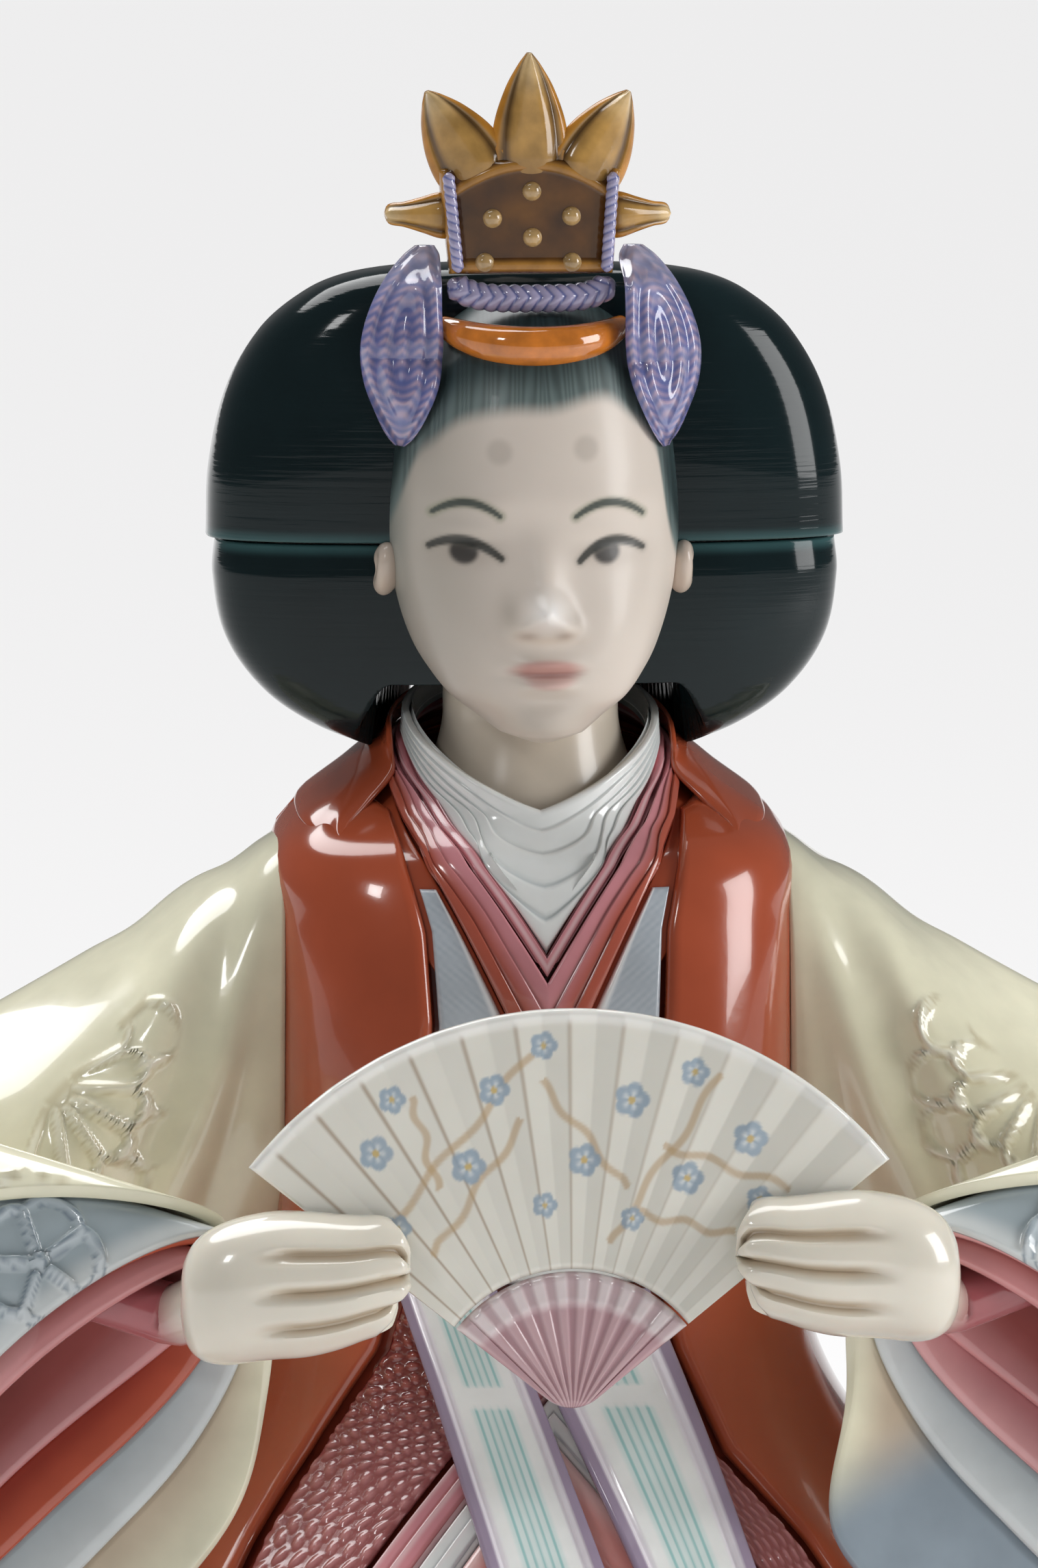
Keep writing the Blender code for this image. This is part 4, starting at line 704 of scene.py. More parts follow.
# %% [markdown]
# ## Train
# The back isn't in the picture, so this is how such dolls are usually dressed: a white train with
# blue-green stripes and waves falls from the waist, wider towards the floor. It is one sheet laid
# over the coat, bordered like the sash ends.

# %% Train
TRAIN_TOP = 1.14


def train_spot(s, t, lift):
    level = COAT_FOOT + (TRAIN_TOP - COAT_FOOT) * t
    wide = 0.62 - 0.38 * t
    return robe_point(math.pi - turn_at(wide * (2 * s - 1), level), level, lift)


def train_paint(s, t, points):
    rim, middle = np.minimum(s, 1 - s), np.abs(s - 0.5)
    body = mix(WHITE, CYAN, smooth(0.5, 0.9, np.cos((s - 0.5) * math.tau * 18))
               * smooth(0.06, 0.05, np.abs(middle - 0.22)) * 0.8)
    waves = smooth(0.86, 1.0, np.cos(t * 60 + 1.4 * np.cos(s * 26))) * smooth(0.16, 0.14, middle)
    return mix(mix(body, CYAN, waves * 0.5), PURPLE, smooth(0.045, 0.035, rim))


train = sheet("train_panel", 120, 110, train_spot, LAYERS["train"], (0.015, 0.01), None, train_paint)
finish_piece(train, painted_glaze, "figure", "white_glaze", "train")

# %% [markdown]
# ## Tied hair
# The hair falls down the back in one flat tail, tied with white paper below the shoulders. A clay
# strip scored with a comb would make it. Two sheets with combed relief meet under a third that
# wraps round them, and all three ride on the figure, so the head can turn above them.

# %% Tail of hair and its tie
TAIL_WIDE, TAIL_THICK, TIE_LEVEL = 0.0085, 0.0048, 1.36
TAIL_LAYER = (TAIL_THICK, 0.0024)


def tail_spot(levels, widths, thick):
    def spot(s, t, lift):
        level = levels[0] + (levels[1] - levels[0]) * t
        climb = np.clip((level - TRAIN_TOP) / (TIE_LEVEL - TRAIN_TOP), 0, 1)
        base = mix([LAYERS["train"][0]], [LAYERS["coat"][0]], climb)[:, 0] + 0.0010
        half = TAIL_WIDE * (widths[0] + (widths[1] - widths[0]) * t)
        turn = math.pi - turn_at(half / KNEE * (2 * s - 1), level)
        crown = np.cos((s - 0.5) * math.pi)
        return robe_point(turn, level, base + lift * (0.45 + 0.55 * crown) * thick / TAIL_THICK)
    return spot


def combed(s, t):
    return 0.00025 * np.cos(s * 75 + 1.2 * np.sin(t * 7))


hair_glaze = glaze("green_black_glaze", HAIR, rough=0.10, cloud=0.35, size=60.0, pits=0.10, coat=0.25,
                   gloss_level=0.28)
for name, levels, widths in (("hair_tail_lower", (0.62, 1.313), (0.55, 0.90)),
                             ("hair_tail_upper", (1.407, 1.885), (0.90, 1.0))):
    tail = sheet(name + "_combed", 60, 90, tail_spot(levels, widths, TAIL_THICK), TAIL_LAYER,
                 (0.05, 0.02), combed)
    finish_piece(tail, hair_glaze, "figure", "hair_glaze", name)
tie = sheet("hair_tie_wrap", 40, 24, tail_spot((1.32, 1.40), (1.02, 1.02), TAIL_THICK + 0.0014),
            TAIL_LAYER, (0.06, 0.10), lambda s, t: 0.0003 * np.cos(t * math.tau * 4))
finish_piece(tie, white_glaze, "figure", "white_glaze", "hair_tie")

# %% [markdown]
# ## Sleeves
# Each sleeve is one wide cup of cloth, thick as a plate and open towards the hands. It is lofted
# from the armhole round the rolled rim and back inside. Chrysanthemums stand in low relief on it,
# pressed by the mould, with a painted highlight on their raised lines and painted shade beside them.

# %% The sleeve's own surface
# Rings from the armhole to the mouth: top, middle, foot, and half the thickness as a direction
SLEEVE = (
    ((0.36, 0.02, 1.715), (0.36, 0.02, 1.43), (0.36, 0.02, 1.10), (0.00, 0.17, 0.00)),
    ((0.57, 0.00, 1.560), (0.64, -0.01, 1.25), (0.72, -0.01, 0.86), (0.04, 0.20, 0.02)),
    ((0.79, -0.06, 1.405), (0.89, -0.085, 1.08), (0.97, -0.10, 0.68), (0.11, 0.185, 0.05)),
    ((0.95, -0.22, 1.320), (1.055, -0.255, 0.95), (1.12, -0.28, 0.55), (0.185, 0.055, 0.07)),
    ((0.80, -0.43, 1.320), (0.985, -0.46, 0.96), (1.09, -0.45, 0.54), (0.115, -0.10, 0.10)),
    ((0.38, -0.57, 1.180), (0.77, -0.535, 0.93), (1.02, -0.49, 0.56), (0.00, -0.098, 0.120)),
    ((0.26, -0.62, 1.110), (0.53, -0.627, 0.83), (0.80, -0.59, 0.46), (0.00, -0.090, 0.120)),
)
# How far along each layer reaches at its top, front, foot and rear
RIMS = {
    "cream": (4.78, 4.10, 4.25, 6.00),
    "grey": (4.86, 4.86, 4.90, 5.60),
    "red": (4.84, 4.82, 4.85, 5.30),
    "pink": (4.92, 4.95, 5.00, 5.00),
}
sleeve_rows = [[k] + [value for group in ring for value in group] for k, ring in enumerate(SLEEVE)]


def sleeve_point(along, angle, inset, side):
    """A place on a sleeve's ring, or inside it by an inset in metres."""
    row = row_at(sleeve_rows, along)
    top, middle, foot, thick = [row[:, k:k + 3] * (side * KNEE, REACH, LAP) for k in (0, 3, 6, 9)]
    inset = np.broadcast_to(inset, along.shape)
    tall = 1 - inset / (np.linalg.norm(top - foot, axis=1) / 2)
    deep = 1 - inset / np.linalg.norm(thick, axis=1)
    up = (power(np.cos(angle), 2 / 2.8) * tall)[:, None]
    out = (power(np.sin(angle), 2 / 2.8) * deep)[:, None]
    return middle + (top - foot) / 2 * up + ((top + foot) / 2 - middle) * up * up + thick * out


def rim_at(ends, angle):
    top, front, foot, rear = ends
    upright, outward = np.cos(angle), np.sin(angle)
    return (top * np.maximum(upright, 0) ** 2 + foot * np.maximum(-upright, 0) ** 2
            + front * np.maximum(outward, 0) ** 2 + rear * np.maximum(-outward, 0) ** 2)


def flower(x, z, centre, radius, petals, rows, line=0.0009):
    """Height from 0 to 1 of a flower whose petals are drawn by raised lines."""
    away = np.hypot(x - centre[0], z - centre[1]) / radius
    turn = np.arctan2(z - centre[1], x - centre[0])
    height = smooth(0.16, 0.10, away)
    for k in range(rows):
        outer, inner = ((1.0, 0.62), (0.68, 0.14))[k] if rows > 1 else (1.0, 0.18)
        across = np.abs((turn * petals / math.tau + k / 2) % 1 - 0.5) * 2
        tip = outer - 0.15 * across ** 2.5
        beside = (1 - across) * away * math.pi / petals
        within = (away > inner) & (away < tip)
        off = np.where(within, np.minimum(beside, tip - away), np.abs(tip - away))
        height = np.maximum(height, smooth(1.25 * line / radius, 0.1 * line / radius, off))
    return height


# Flowers: how far out and up in metres, radius, petals, rows of petals
SLEEVE_FLOWERS = {
    -1: ((0.0705, 0.1365, 0.0205, 13, 2), (0.106, 0.084, 0.020, 13, 2),
         (0.115, 0.122, 0.009, 7, 1), (0.098, 0.046, 0.010, 7, 1)),
    1: ((0.0735, 0.1365, 0.0200, 13, 2), (0.106, 0.084, 0.020, 13, 2),
        (0.0560, 0.0840, 0.0040, 6, 1), (0.0655, 0.0700, 0.0045, 6, 1)),
}
CUFF_FLOWERS = ((0.0735, 0.1185, 0.0085, 5, 1), (0.100, 0.058, 0.008, 5, 1),
                (0.078, 0.048, 0.006, 5, 1), (0.088, 0.096, 0.007, 5, 1),
                (0.104, 0.078, 0.006, 5, 1))


def flowers_at(points, side, marks):
    """The relief of several flowers, from 0 to 1."""
    high = np.zeros(len(points))
    for out, up, radius, petals, rows in marks:
        high = np.maximum(high, flower(side * points[:, 0], points[:, 2], (out, up), radius, petals,
                                       rows))
    return high


print("sleeve's widest place in mm:", sleeve_point(np.array([3.0]), np.array([1.6]), 0, 1).round(4))

# %% [markdown]
# ## Cups and rings of cloth
# A sleeve is a wide cup: its wall runs out from the armhole, rolls over at the mouth and comes
# back inside to a floor behind the wrist. A lining is the same walk that ends at its own start,
# so it makes a ring. One function places both, and the mouths then share their curves. The relief
# fades where the section turns its narrow edge to the viewer, so it never frays the outline.

# %% A cup of cloth with a rolled rim, or a ring of cloth where it ends at its own start
WALL, CUFF_WALL, CUFF_GAP, RELIEF = 0.0018, 0.0012, 0.0006, 0.0011
CUP_FLOOR, CUFF_START = 3.70, 3.92
OUTSIDE, TURNED, LIP_REACH, RIM_BEND = 0.80, 0.84, 0.40, 0.012


def section_angle(s):
    """Spreads the columns evenly over a tall flat section, a little closer at its narrow edges."""
    angle = np.arccos(np.clip(power(there_and_back(s, 0.4), 1.4), -1, 1))
    return np.where(s < 0.5, angle, math.tau - angle)


def rim_along(layer, angle, side):
    """Where a layer ends. The right sleeve's lower lip reaches a little further, up to the coat."""
    reach = LIP_REACH * smooth(0.8, 0.1, np.cos(angle)) if layer == "cream" and side > 0 else 0.0
    return rim_at(RIMS[layer], angle) + reach * np.maximum(-np.sin(angle), 0)


def armpit_folds(points, along, side):
    """Soft creases that run down from the shoulder where the sleeve leaves the coat."""
    slant = side * points[:, 0] * 420 + points[:, 2] * 190
    return 0.0011 * np.sin(slant) * smooth(0.15, 0.5, along) * smooth(1.25, 0.75, along)


def relief_shows(angle, along):
    """1 on the broad faces beyond the shoulder, 0 along the narrow edges of the section."""
    return smooth(0.50, 0.85, np.abs(np.sin(angle))) * smooth(0.7, 1.0, along)


def cup_place(layer, start, floor, inset, wall, side, marks=()):
    """Walks out from start to the layer's rim, over it, and back inside to floor."""
    def place(s, t):
        angle = section_angle(s)
        end = rim_along(layer, angle, side)
        turned = np.clip((t - OUTSIDE) / (TURNED - OUTSIDE), 0, 1)
        going, back = np.clip(t / OUTSIDE, 0, 1), np.clip((t - TURNED) / (1 - TURNED), 0, 1)
        end = end - RIM_BEND
        lip = 0.010 * np.sin(turned * math.pi)
        along = np.where(t < TURNED, start + (end - start) * going, end + (floor - end) * back) + lip
        depth = inset + wall * (1 - np.cos(turned * math.pi)) / 2
        points = sleeve_point(along, angle, depth, side)
        if marks:
            raised = RELIEF * flowers_at(points, side, marks) * relief_shows(angle, along)
            if layer == "cream":
                raised = raised + armpit_folds(points, along, side)
            points = sleeve_point(along, angle, depth - raised * (t < OUTSIDE - 0.02), side)
        ends = (t < 1e-6) | (t > 1 - 1e-6)
        if floor > start:
            row = row_at(sleeve_rows, along[ends])
            points[ends] = row[:, 3:6] * (side * KNEE, REACH, LAP)
        else:
            points[ends] = sleeve_point(along[ends], angle[ends], inset, side)
        return points
    return place


def sleeve_paint(side):
    def paint(s, t, points):
        angle = section_angle(s)
        along = rim_along("cream", angle, side) * np.clip(t / OUTSIDE, 0, 1)
        high = (flowers_at(points, side, SLEEVE_FLOWERS[side]) * (t < OUTSIDE)
                * relief_shows(angle, along))
        # Painted highlight on the flowers' raised lines, and painted shade on their flanks
        base = mix(CREAM, (0.88, 0.86, 0.74), high * 0.8)
        groove_shade = smooth(0.02, 0.25, high) * smooth(0.60, 0.30, high)
        base = mix(base, (0.50, 0.42, 0.24), groove_shade * 0.5)
        # Painted shade inside the cup: darker tan beyond the rolled rim
        base = mix(base, (0.58, 0.46, 0.34), smooth(TURNED, TURNED + 0.03, t) * 0.9)
        # The right sleeve's lower lip turns its blue-grey lining outwards
        lower = smooth(0.45, 0.15, np.cos(angle)) * smooth(4.6, 5.1, along) * (side > 0)
        return mix(base, (0.30, 0.36, 0.41), lower * np.where(t < OUTSIDE, np.sin(angle) < 0, 1))
    return paint


for label, side in SIDES:
    cup = grid("sleeve_cup_" + label, 272, 230,
               cup_place("cream", 0.0, CUP_FLOOR, 0.0, WALL, side, SLEEVE_FLOWERS[side]),
               sleeve_paint(side))
    closed(cup)
    finish_piece(cup, painted_glaze, "figure", "cream_glaze", "sleeve_" + label)

# %% [markdown]
# ## Linings in the sleeve's mouth
# Three linings show inside the sleeve, one beyond the other: blue-grey with plum blossoms, red,
# and a glossy pink. On the right the red one is thinly glazed and comes out rose. Each is a ring of
# cloth whose rim reaches further at the back, so the layers stack like the leaves of a book.


# %% The three linings
# Each lining's own colour, and a lighter colour along its rim that is a painted highlight
LININGS = {"grey": ((0.40, 0.47, 0.50), (0.66, 0.70, 0.70)),
           "red": ((0.34, 0.035, 0.018), (0.52, 0.10, 0.05)),
           "rose": ((0.52, 0.17, 0.18), (0.76, 0.38, 0.38)),
           "pink": ((0.42, 0.12, 0.11), (0.66, 0.28, 0.28))}


def cuff_paint(layer, side):
    light, rim = LININGS["rose" if layer == "red" and side > 0 else layer]

    def paint(s, t, points):
        # Painted highlight along the rolled rim
        base = mix(light, rim, smooth(OUTSIDE - 0.12, OUTSIDE - 0.02, t)
                   * smooth(TURNED + 0.04, TURNED, t))
        if layer == "grey":
            # Painted highlight on the raised blossoms, and painted shade on their flanks
            high = flowers_at(points, side, CUFF_FLOWERS)
            groove_shade = smooth(0.02, 0.3, high) * smooth(0.75, 0.4, high)
            base = mix(mix(base, (0.52, 0.58, 0.62), high * 0.5), (0.17, 0.22, 0.27), groove_shade * 0.8)
        return base
    return paint


for label, side in SIDES:
    for order, layer, slot in ((0, "grey", "grey_glaze"), (1, "red", "lining_glaze"),
                               (2, "pink", "pink_glaze")):
        inset = WALL + CUFF_GAP + order * (CUFF_WALL + CUFF_GAP)
        marks, columns = (CUFF_FLOWERS, 360) if layer == "grey" else ((), 180)
        cuff = grid(f"lining_{layer}_{label}", columns, 84,
                    cup_place(layer, CUFF_START, CUFF_START, inset, CUFF_WALL, side, marks),
                    cuff_paint(layer, side))
        closed(cuff)
        finish_piece(cuff, painted_glaze, "figure", slot, f"cuff_{layer}_{label}")

# %% [markdown]
# ## The fan
# The fan is one thin pleated leaf in white with a raised rim. Small five-petalled blossoms in
# blue-grey and their tan branches are painted over the glaze, laid out afresh here. Its root is
# pink and ribbed like the sticks of a folding fan.

# %% The fan's plane
FAN_SPREAD, FAN_REACH, FAN_START = math.radians(51.5), 0.0570, 0.0208
FAN_LEAN, APEX_HEIGHT, APEX_FORWARD = math.radians(6.2), 0.0976, 0.0720
LEAF_LAYER = (0.0007, 0.0014)
BLOSSOMS = ((-36, 0.046, 0.0027), (-29, 0.051, 0.0022), (-22, 0.038, 0.0028), (-13, 0.047, 0.0025),
            (-4, 0.052, 0.0022), (3, 0.036, 0.0026), (11, 0.045, 0.0028), (20, 0.051, 0.0023),
            (26, 0.037, 0.0026), (33, 0.046, 0.0028), (41, 0.040, 0.0021), (-42, 0.036, 0.0022),
            (-7, 0.030, 0.0020), (17, 0.029, 0.0019))
BRANCHES = ((-44, 0.037, -6, 0.051), (-40, 0.030, -9, 0.042), (-26, 0.050, -30, 0.037),
            (12, 0.025, 24, 0.052), (19, 0.040, 44, 0.044), (14, 0.033, -5, 0.047),
            (17, 0.030, 42, 0.034))


def fan_at(out, turn, ahead):
    across, up = out * np.sin(turn), out * np.cos(turn)
    return np.stack([across, -APEX_FORWARD + up * math.sin(FAN_LEAN) - ahead * math.cos(FAN_LEAN),
                     APEX_HEIGHT + up * math.cos(FAN_LEAN) + ahead * math.sin(FAN_LEAN)], axis=1)


def leaf_spot(s, t, lift):
    out = FAN_START + (FAN_REACH - FAN_START) * t
    wave = np.abs((s * 13) % 1 - 0.5) * 2
    fold = 0.00025 * (out / FAN_REACH) * (1 - 2 * wave)
    return fan_at(out, (2 * s - 1) * FAN_SPREAD, lift + fold)


def leaf_paint(s, t, points):
    turn, out = (2 * s - 1) * FAN_SPREAD, FAN_START + (FAN_REACH - FAN_START) * t
    x, z = out * np.sin(turn), out * np.cos(turn)
    # Brown lines along the pleat folds: partly painted lines, partly painted shade that is strongest
    # towards the left
    crease_shade = smooth(0.16, 0.0, np.abs((s * 13) % 1 - 0.5) * 2)
    base = mix((0.80, 0.78, 0.70), (0.42, 0.33, 0.24), crease_shade * 0.85 * smooth(1.15, 0.1, s))
    for a, r0, b, r1 in BRANCHES:
        start = np.array([r0 * math.sin(math.radians(a)), r0 * math.cos(math.radians(a))])
        end = np.array([r1 * math.sin(math.radians(b)), r1 * math.cos(math.radians(b))])
        run = end - start
        share = np.clip(((x - start[0]) * run[0] + (z - start[1]) * run[1]) / (run @ run), 0, 1)
        wave = 0.0005 * np.sin(share * 13 + a) * smooth(0.0, 0.1, share)
        aside = ((x - start[0]) * run[1] - (z - start[1]) * run[0]) / np.hypot(*run) - wave
        past = np.hypot(x - start[0] - run[0] * share, z - start[1] - run[1] * share)
        off = np.where((share > 0) & (share < 1), np.abs(aside), past + 0.0004)
        base = mix(base, (0.55, 0.38, 0.20), smooth(0.00080, 0.00025, off) * 0.65)
    for degrees, reach, radius in BLOSSOMS:
        cx = reach * math.sin(math.radians(degrees))
        cz = reach * math.cos(math.radians(degrees))
        away = np.hypot(x - cx, z - cz)
        round_it = np.arctan2(z - cz, x - cx)
        petal = radius * (0.78 + 0.22 * np.abs(np.cos(2.5 * round_it)))
        base = mix(base, (0.30, 0.40, 0.50), smooth(petal, petal * 0.82, away) * 0.85)
        base = mix(base, (0.78, 0.80, 0.78), smooth(radius * 0.62, radius * 0.35, away)
                   * (0.5 + 0.5 * np.cos(5 * round_it)) * 0.7)
        base = mix(base, (0.62, 0.48, 0.22), smooth(radius * 0.24, radius * 0.14, away))
    return mix(base, (0.86, 0.85, 0.80), smooth(0.93, 0.97, t))


leaf = sheet("fan_leaf_pleated", 440, 104, leaf_spot, LEAF_LAYER, (0.004, 0.02),
             lambda s, t: 0.00025 * smooth(0.94, 0.98, t), leaf_paint)
finish_piece(leaf, painted_porcelain, "fan", "white_glaze", "fan_leaf")


# %% The fan's root
ROOT_HALF, ROOT_REACH, ROOT_ROUND = 0.00135, 0.0205, 0.0054


def root_place(s, t):
    share = there_and_back(s, 0.2)
    face = np.where(s < 0.5, 1, -1) * np.sqrt(np.maximum(1 - np.abs(share) ** 14, 0))
    close = drawn_in(t, 0.05)
    spread = share * FAN_SPREAD
    centre = ROOT_ROUND / math.sin(FAN_SPREAD)
    corner = centre * np.cos(spread) - np.sqrt(
        np.maximum(ROOT_ROUND ** 2 - (centre * np.sin(spread)) ** 2, 0))
    ribs = 0.00028 * smooth(0.5, 0.95, np.abs(np.cos(share * math.pi * 5.5))) * np.minimum(4 * t, 1)
    ahead = -0.00015 + close * (ROOT_HALF * face - ribs * (face > 0.9))
    return fan_at(corner + (ROOT_REACH - corner) * t, spread, ahead + 0.0003 * smooth(0.74, 0.80, t))


def root_paint(s, t, points):
    share = there_and_back(s, 0.2)
    base = mix((0.60, 0.40, 0.42), (0.76, 0.66, 0.66), smooth(0.72, 0.80, t))
    # Painted shade along the grooves between the ribs, on both faces of the root
    rib_groove_shade = smooth(0.5, 0.95, np.abs(np.cos(share * math.pi * 5.5)))
    return mix(base, (0.36, 0.17, 0.20), rib_groove_shade * 0.5)


root = closed(grid("fan_root_ribbed", 360, 60, root_place, root_paint))
root.select_set(True)
bpy.ops.object.shade_smooth_by_angle(angle=math.radians(50))
finish_piece(root, painted_porcelain, "fan", "root_glaze", "fan_sticks")

# %% [markdown]
# ## Hands
# Each hand is a small mitten of white clay that holds a corner of the fan between its fingers and
# palm. Four fingers are pressed in side by side, with painted shade in tan in the grooves between
# them. The hand is swept in rings from the finger tips to the heel, and a slot for the fan is then
# cut with a Boolean, so the fan still lifts out.

# %% Rings of a hand
HAND_CAP = 0.04
HAND = (
    (0.000, -0.722, 1.178, 0.50, 0.40),
    (0.030, -0.722, 1.179, 0.74, 0.66),
    (0.180, -0.720, 1.176, 0.86, 0.86),
    (0.420, -0.712, 1.170, 0.99, 0.96),
    (0.660, -0.704, 1.168, 1.00, 0.96),
    (0.820, -0.702, 1.166, 0.95, 0.88),
    (0.930, -0.700, 1.164, 0.78, 0.70),
    (0.985, -0.700, 1.162, 0.50, 0.46),
    (1.000, -0.700, 1.162, 0.20, 0.20),
)


def finger_dip(upward, along):
    """From 0 on the back of a finger to 1 in the groove beside it, fading out over the palm."""
    beside = np.abs((upward * 2 + 2) % 1 - 0.5) * 2
    return smooth(0.45, 1.0, beside) * smooth(0.72, 0.45, along) * (np.abs(upward) < 0.86)


def hand_place(side, rise):
    def place(s, t):
        along, close = inside(t, HAND_CAP), drawn_in(t, HAND_CAP)
        ahead, height, tall, deep = row_at(HAND, along).T
        turn = math.tau * s
        upward = power(np.cos(turn), 2 / 2.2)
        front = np.sin(turn) > 0
        dip = finger_dip(upward, along) * front
        tip = (0.0016 * (1 - (2 * np.abs((upward * 2 + 2) % 1 - 0.5)) ** 2) - 0.0018 * (upward < -0.5)
               ) * smooth(0.12, 0.0, along) * front
        out = close * deep * 0.0082 * power(np.sin(turn), 2 / 2.2) - 0.0015 * dip * close
        x = 0.0242 + along * 0.0300 - tip
        drop = 0.0016 * smooth(0.5, 1.0, along) - 0.0006 * smooth(0.3, 0.0, along)
        z = (height + rise) * LAP - drop + close * tall * 0.0102 * upward
        return np.stack([side * x, ahead * REACH - out, z], axis=1)
    return place


def hand_paint(s, t, points):
    along = inside(t, HAND_CAP)
    upward = power(np.cos(math.tau * s), 2 / 2.2)
    # Painted shade in tan in the grooves between the fingers
    dip = finger_dip(upward, along) * (np.sin(math.tau * s) > 0)
    return mix((0.80, 0.75, 0.64), (0.46, 0.33, 0.20), dip * 0.75)


print("a groove's depth share between fingers:", finger_dip(np.array([0.5]), np.array([0.2])))

# %% Cutting the fan's slot
FAN_OUTLINE = ((0.0, -0.0006), (0.0452, 0.0356), (0.0452, 0.0700), (-0.0452, 0.0700),
               (-0.0452, 0.0356))


def fan_cutter():
    bpy.ops.object.select_all(action="DESELECT")
    bpy.ops.mesh.primitive_cylinder_add(vertices=5, radius=1, depth=2)
    cutter = bpy.context.object
    for vertex in cutter.data.vertices:
        corner = round(math.atan2(vertex.co.y, vertex.co.x) / (math.tau / 5) - 1.25) % 5
        across, up = FAN_OUTLINE[corner]
        ahead = math.copysign(0.0019, vertex.co.z)
        vertex.co = (across, -APEX_FORWARD + up * math.sin(FAN_LEAN) - ahead * math.cos(FAN_LEAN),
                     APEX_HEIGHT + up * math.cos(FAN_LEAN) + ahead * math.sin(FAN_LEAN))
    edit_all(bpy.ops.mesh.normals_make_consistent, inside=False)
    return cutter


FOREARM = ((5.0, 0.62), (4.5, 0.62), (4.0, 0.60), (3.74, 0.58))


def forearm_place(side):
    rows = row_at(sleeve_rows, np.array([along for along, _ in FOREARM]))
    up = np.array([share for _, share in FOREARM])[:, None]
    top, middle, foot = [rows[:, k:k + 3] * (side * KNEE, REACH, LAP) for k in (0, 3, 6)]
    spine = middle + (top - foot) / 2 * up + ((top + foot) / 2 - middle) * up * up
    spine = np.vstack([[side * 0.0450, -0.0665, 0.1155], spine])

    def place(s, t):
        level, close = inside(t, HAND_CAP) * (len(spine) - 1), drawn_in(t, HAND_CAP)
        here = np.stack([np.interp(level, range(len(spine)), spine[:, k]) for k in range(3)], axis=1)
        run = spine[np.minimum(level.astype(int) + 1, len(spine) - 1)] - spine[
            np.minimum(level.astype(int), len(spine) - 2)]
        run /= np.maximum(np.linalg.norm(run, axis=1), 1e-9)[:, None]
        across = np.cross(run, (0, 0, 1.0))
        across /= np.linalg.norm(across, axis=1)[:, None]
        turn = math.tau * s
        return (here + across * (0.0044 * close * np.cos(turn))[:, None]
                + np.cross(across, run) * (0.0044 * close * np.sin(turn))[:, None])
    return place


hand_glaze = glaze("warm_white_hand_glaze", None, rough=0.2, cloud=0.04, scatter=0.2)
for label, side, rise in (("left", -1, 0.0), ("right", 1, 0.018)):
    hand = closed(grid("hand_fingers_" + label, 160, 110, hand_place(side, rise), hand_paint))
    cutter = fan_cutter()
    bpy.context.view_layer.objects.active = hand
    apply(hand, "BOOLEAN", operation="DIFFERENCE", object=cutter, solver="EXACT")
    bpy.data.objects.remove(cutter)
    bpy.ops.object.select_all(action="DESELECT")
    hand.select_set(True)
    bpy.ops.object.shade_smooth_by_angle(angle=math.radians(40))
    finish_piece(hand, hand_glaze, "figure", "skin_glaze", "hand_" + label)
    forearm = closed(grid("forearm_" + label, 40, 60, forearm_place(side),
                          lambda s, t, points: mix((0.80, 0.75, 0.64), (0.40, 0.10, 0.11),
                                                   smooth(0.15, 0.30, t))))
    finish_piece(forearm, hand_glaze, "figure", "skin_glaze")

# %% [markdown]
# ## Head
# The head is one closed shell of unglossy white clay. It is swept in level rings from the chin to
# the crown, closer together at the front, and the brow, nose, lips and chin are pushed out of it
# with soft round hills, as a modeller adds pellets of clay. The face is painted before firing.

# %% Rings of the head
CHIN, HEAD_TALL, FACE_HALF, FACE_DEEP, SKULL_BACK = 0.187, 0.0630, 0.0214, 0.0286, 0.0240
HEAD = (
    (0.000, 0.14, 0.857, -0.667),
    (0.016, 0.28, 0.916, -0.500),
    (0.048, 0.435, 0.951, -0.167),
    (0.088, 0.60, 0.990, 0.083),
    (0.152, 0.75, 1.000, 0.417),
    (0.200, 0.83, 0.993, 0.625),
    (0.280, 0.916, 0.965, 0.790),
    (0.376, 0.98, 0.937, 0.917),
    (0.472, 1.00, 0.916, 0.980),
    (0.568, 0.986, 0.916, 1.000),
    (0.680, 0.95, 0.874, 0.980),
    (0.792, 0.874, 0.797, 0.917),
    (0.888, 0.724, 0.664, 0.790),
    (0.960, 0.49, 0.472, 0.583),
    (1.000, 0.21, 0.245, 0.290),
)
# Hills of clay: middle across and up in mm, half-width, half-height, and how far out
CLAY = (
    (-0.2, 205.3, 3.1, 2.7, 4.6), (-0.2, 210.5, 2.9, 4.6, 1.5), (-3.6, 203.5, 1.8, 1.5, 1.5),
    (3.0, 203.5, 1.8, 1.5, 1.5), (0.0, 198.2, 4.5, 1.2, 1.2), (0.5, 195.0, 3.4, 1.1, 1.2),
    (0.4, 196.5, 4.4, 0.55, -0.6), (0.0, 192.6, 4.5, 1.4, -0.7), (0.0, 188.8, 5.0, 2.6, 1.0),
    (-11.6, 217.0, 4.2, 1.5, 0.55), (9.6, 217.0, 4.2, 1.5, 0.55),
    (-10.6, 214.4, 5.0, 3.0, -1.1), (9.7, 214.4, 5.0, 3.0, -1.1), (-10.6, 213.6, 4.0, 1.9, 0.8),
    (9.7, 213.6, 4.0, 1.9, 0.8), (-10.0, 221.0, 6.0, 2.5, 0.5), (9.2, 221.0, 6.0, 2.5, 0.5),
    (-12.0, 203.0, 6.0, 6.0, 0.9), (12.0, 203.0, 6.0, 6.0, 0.9),
)


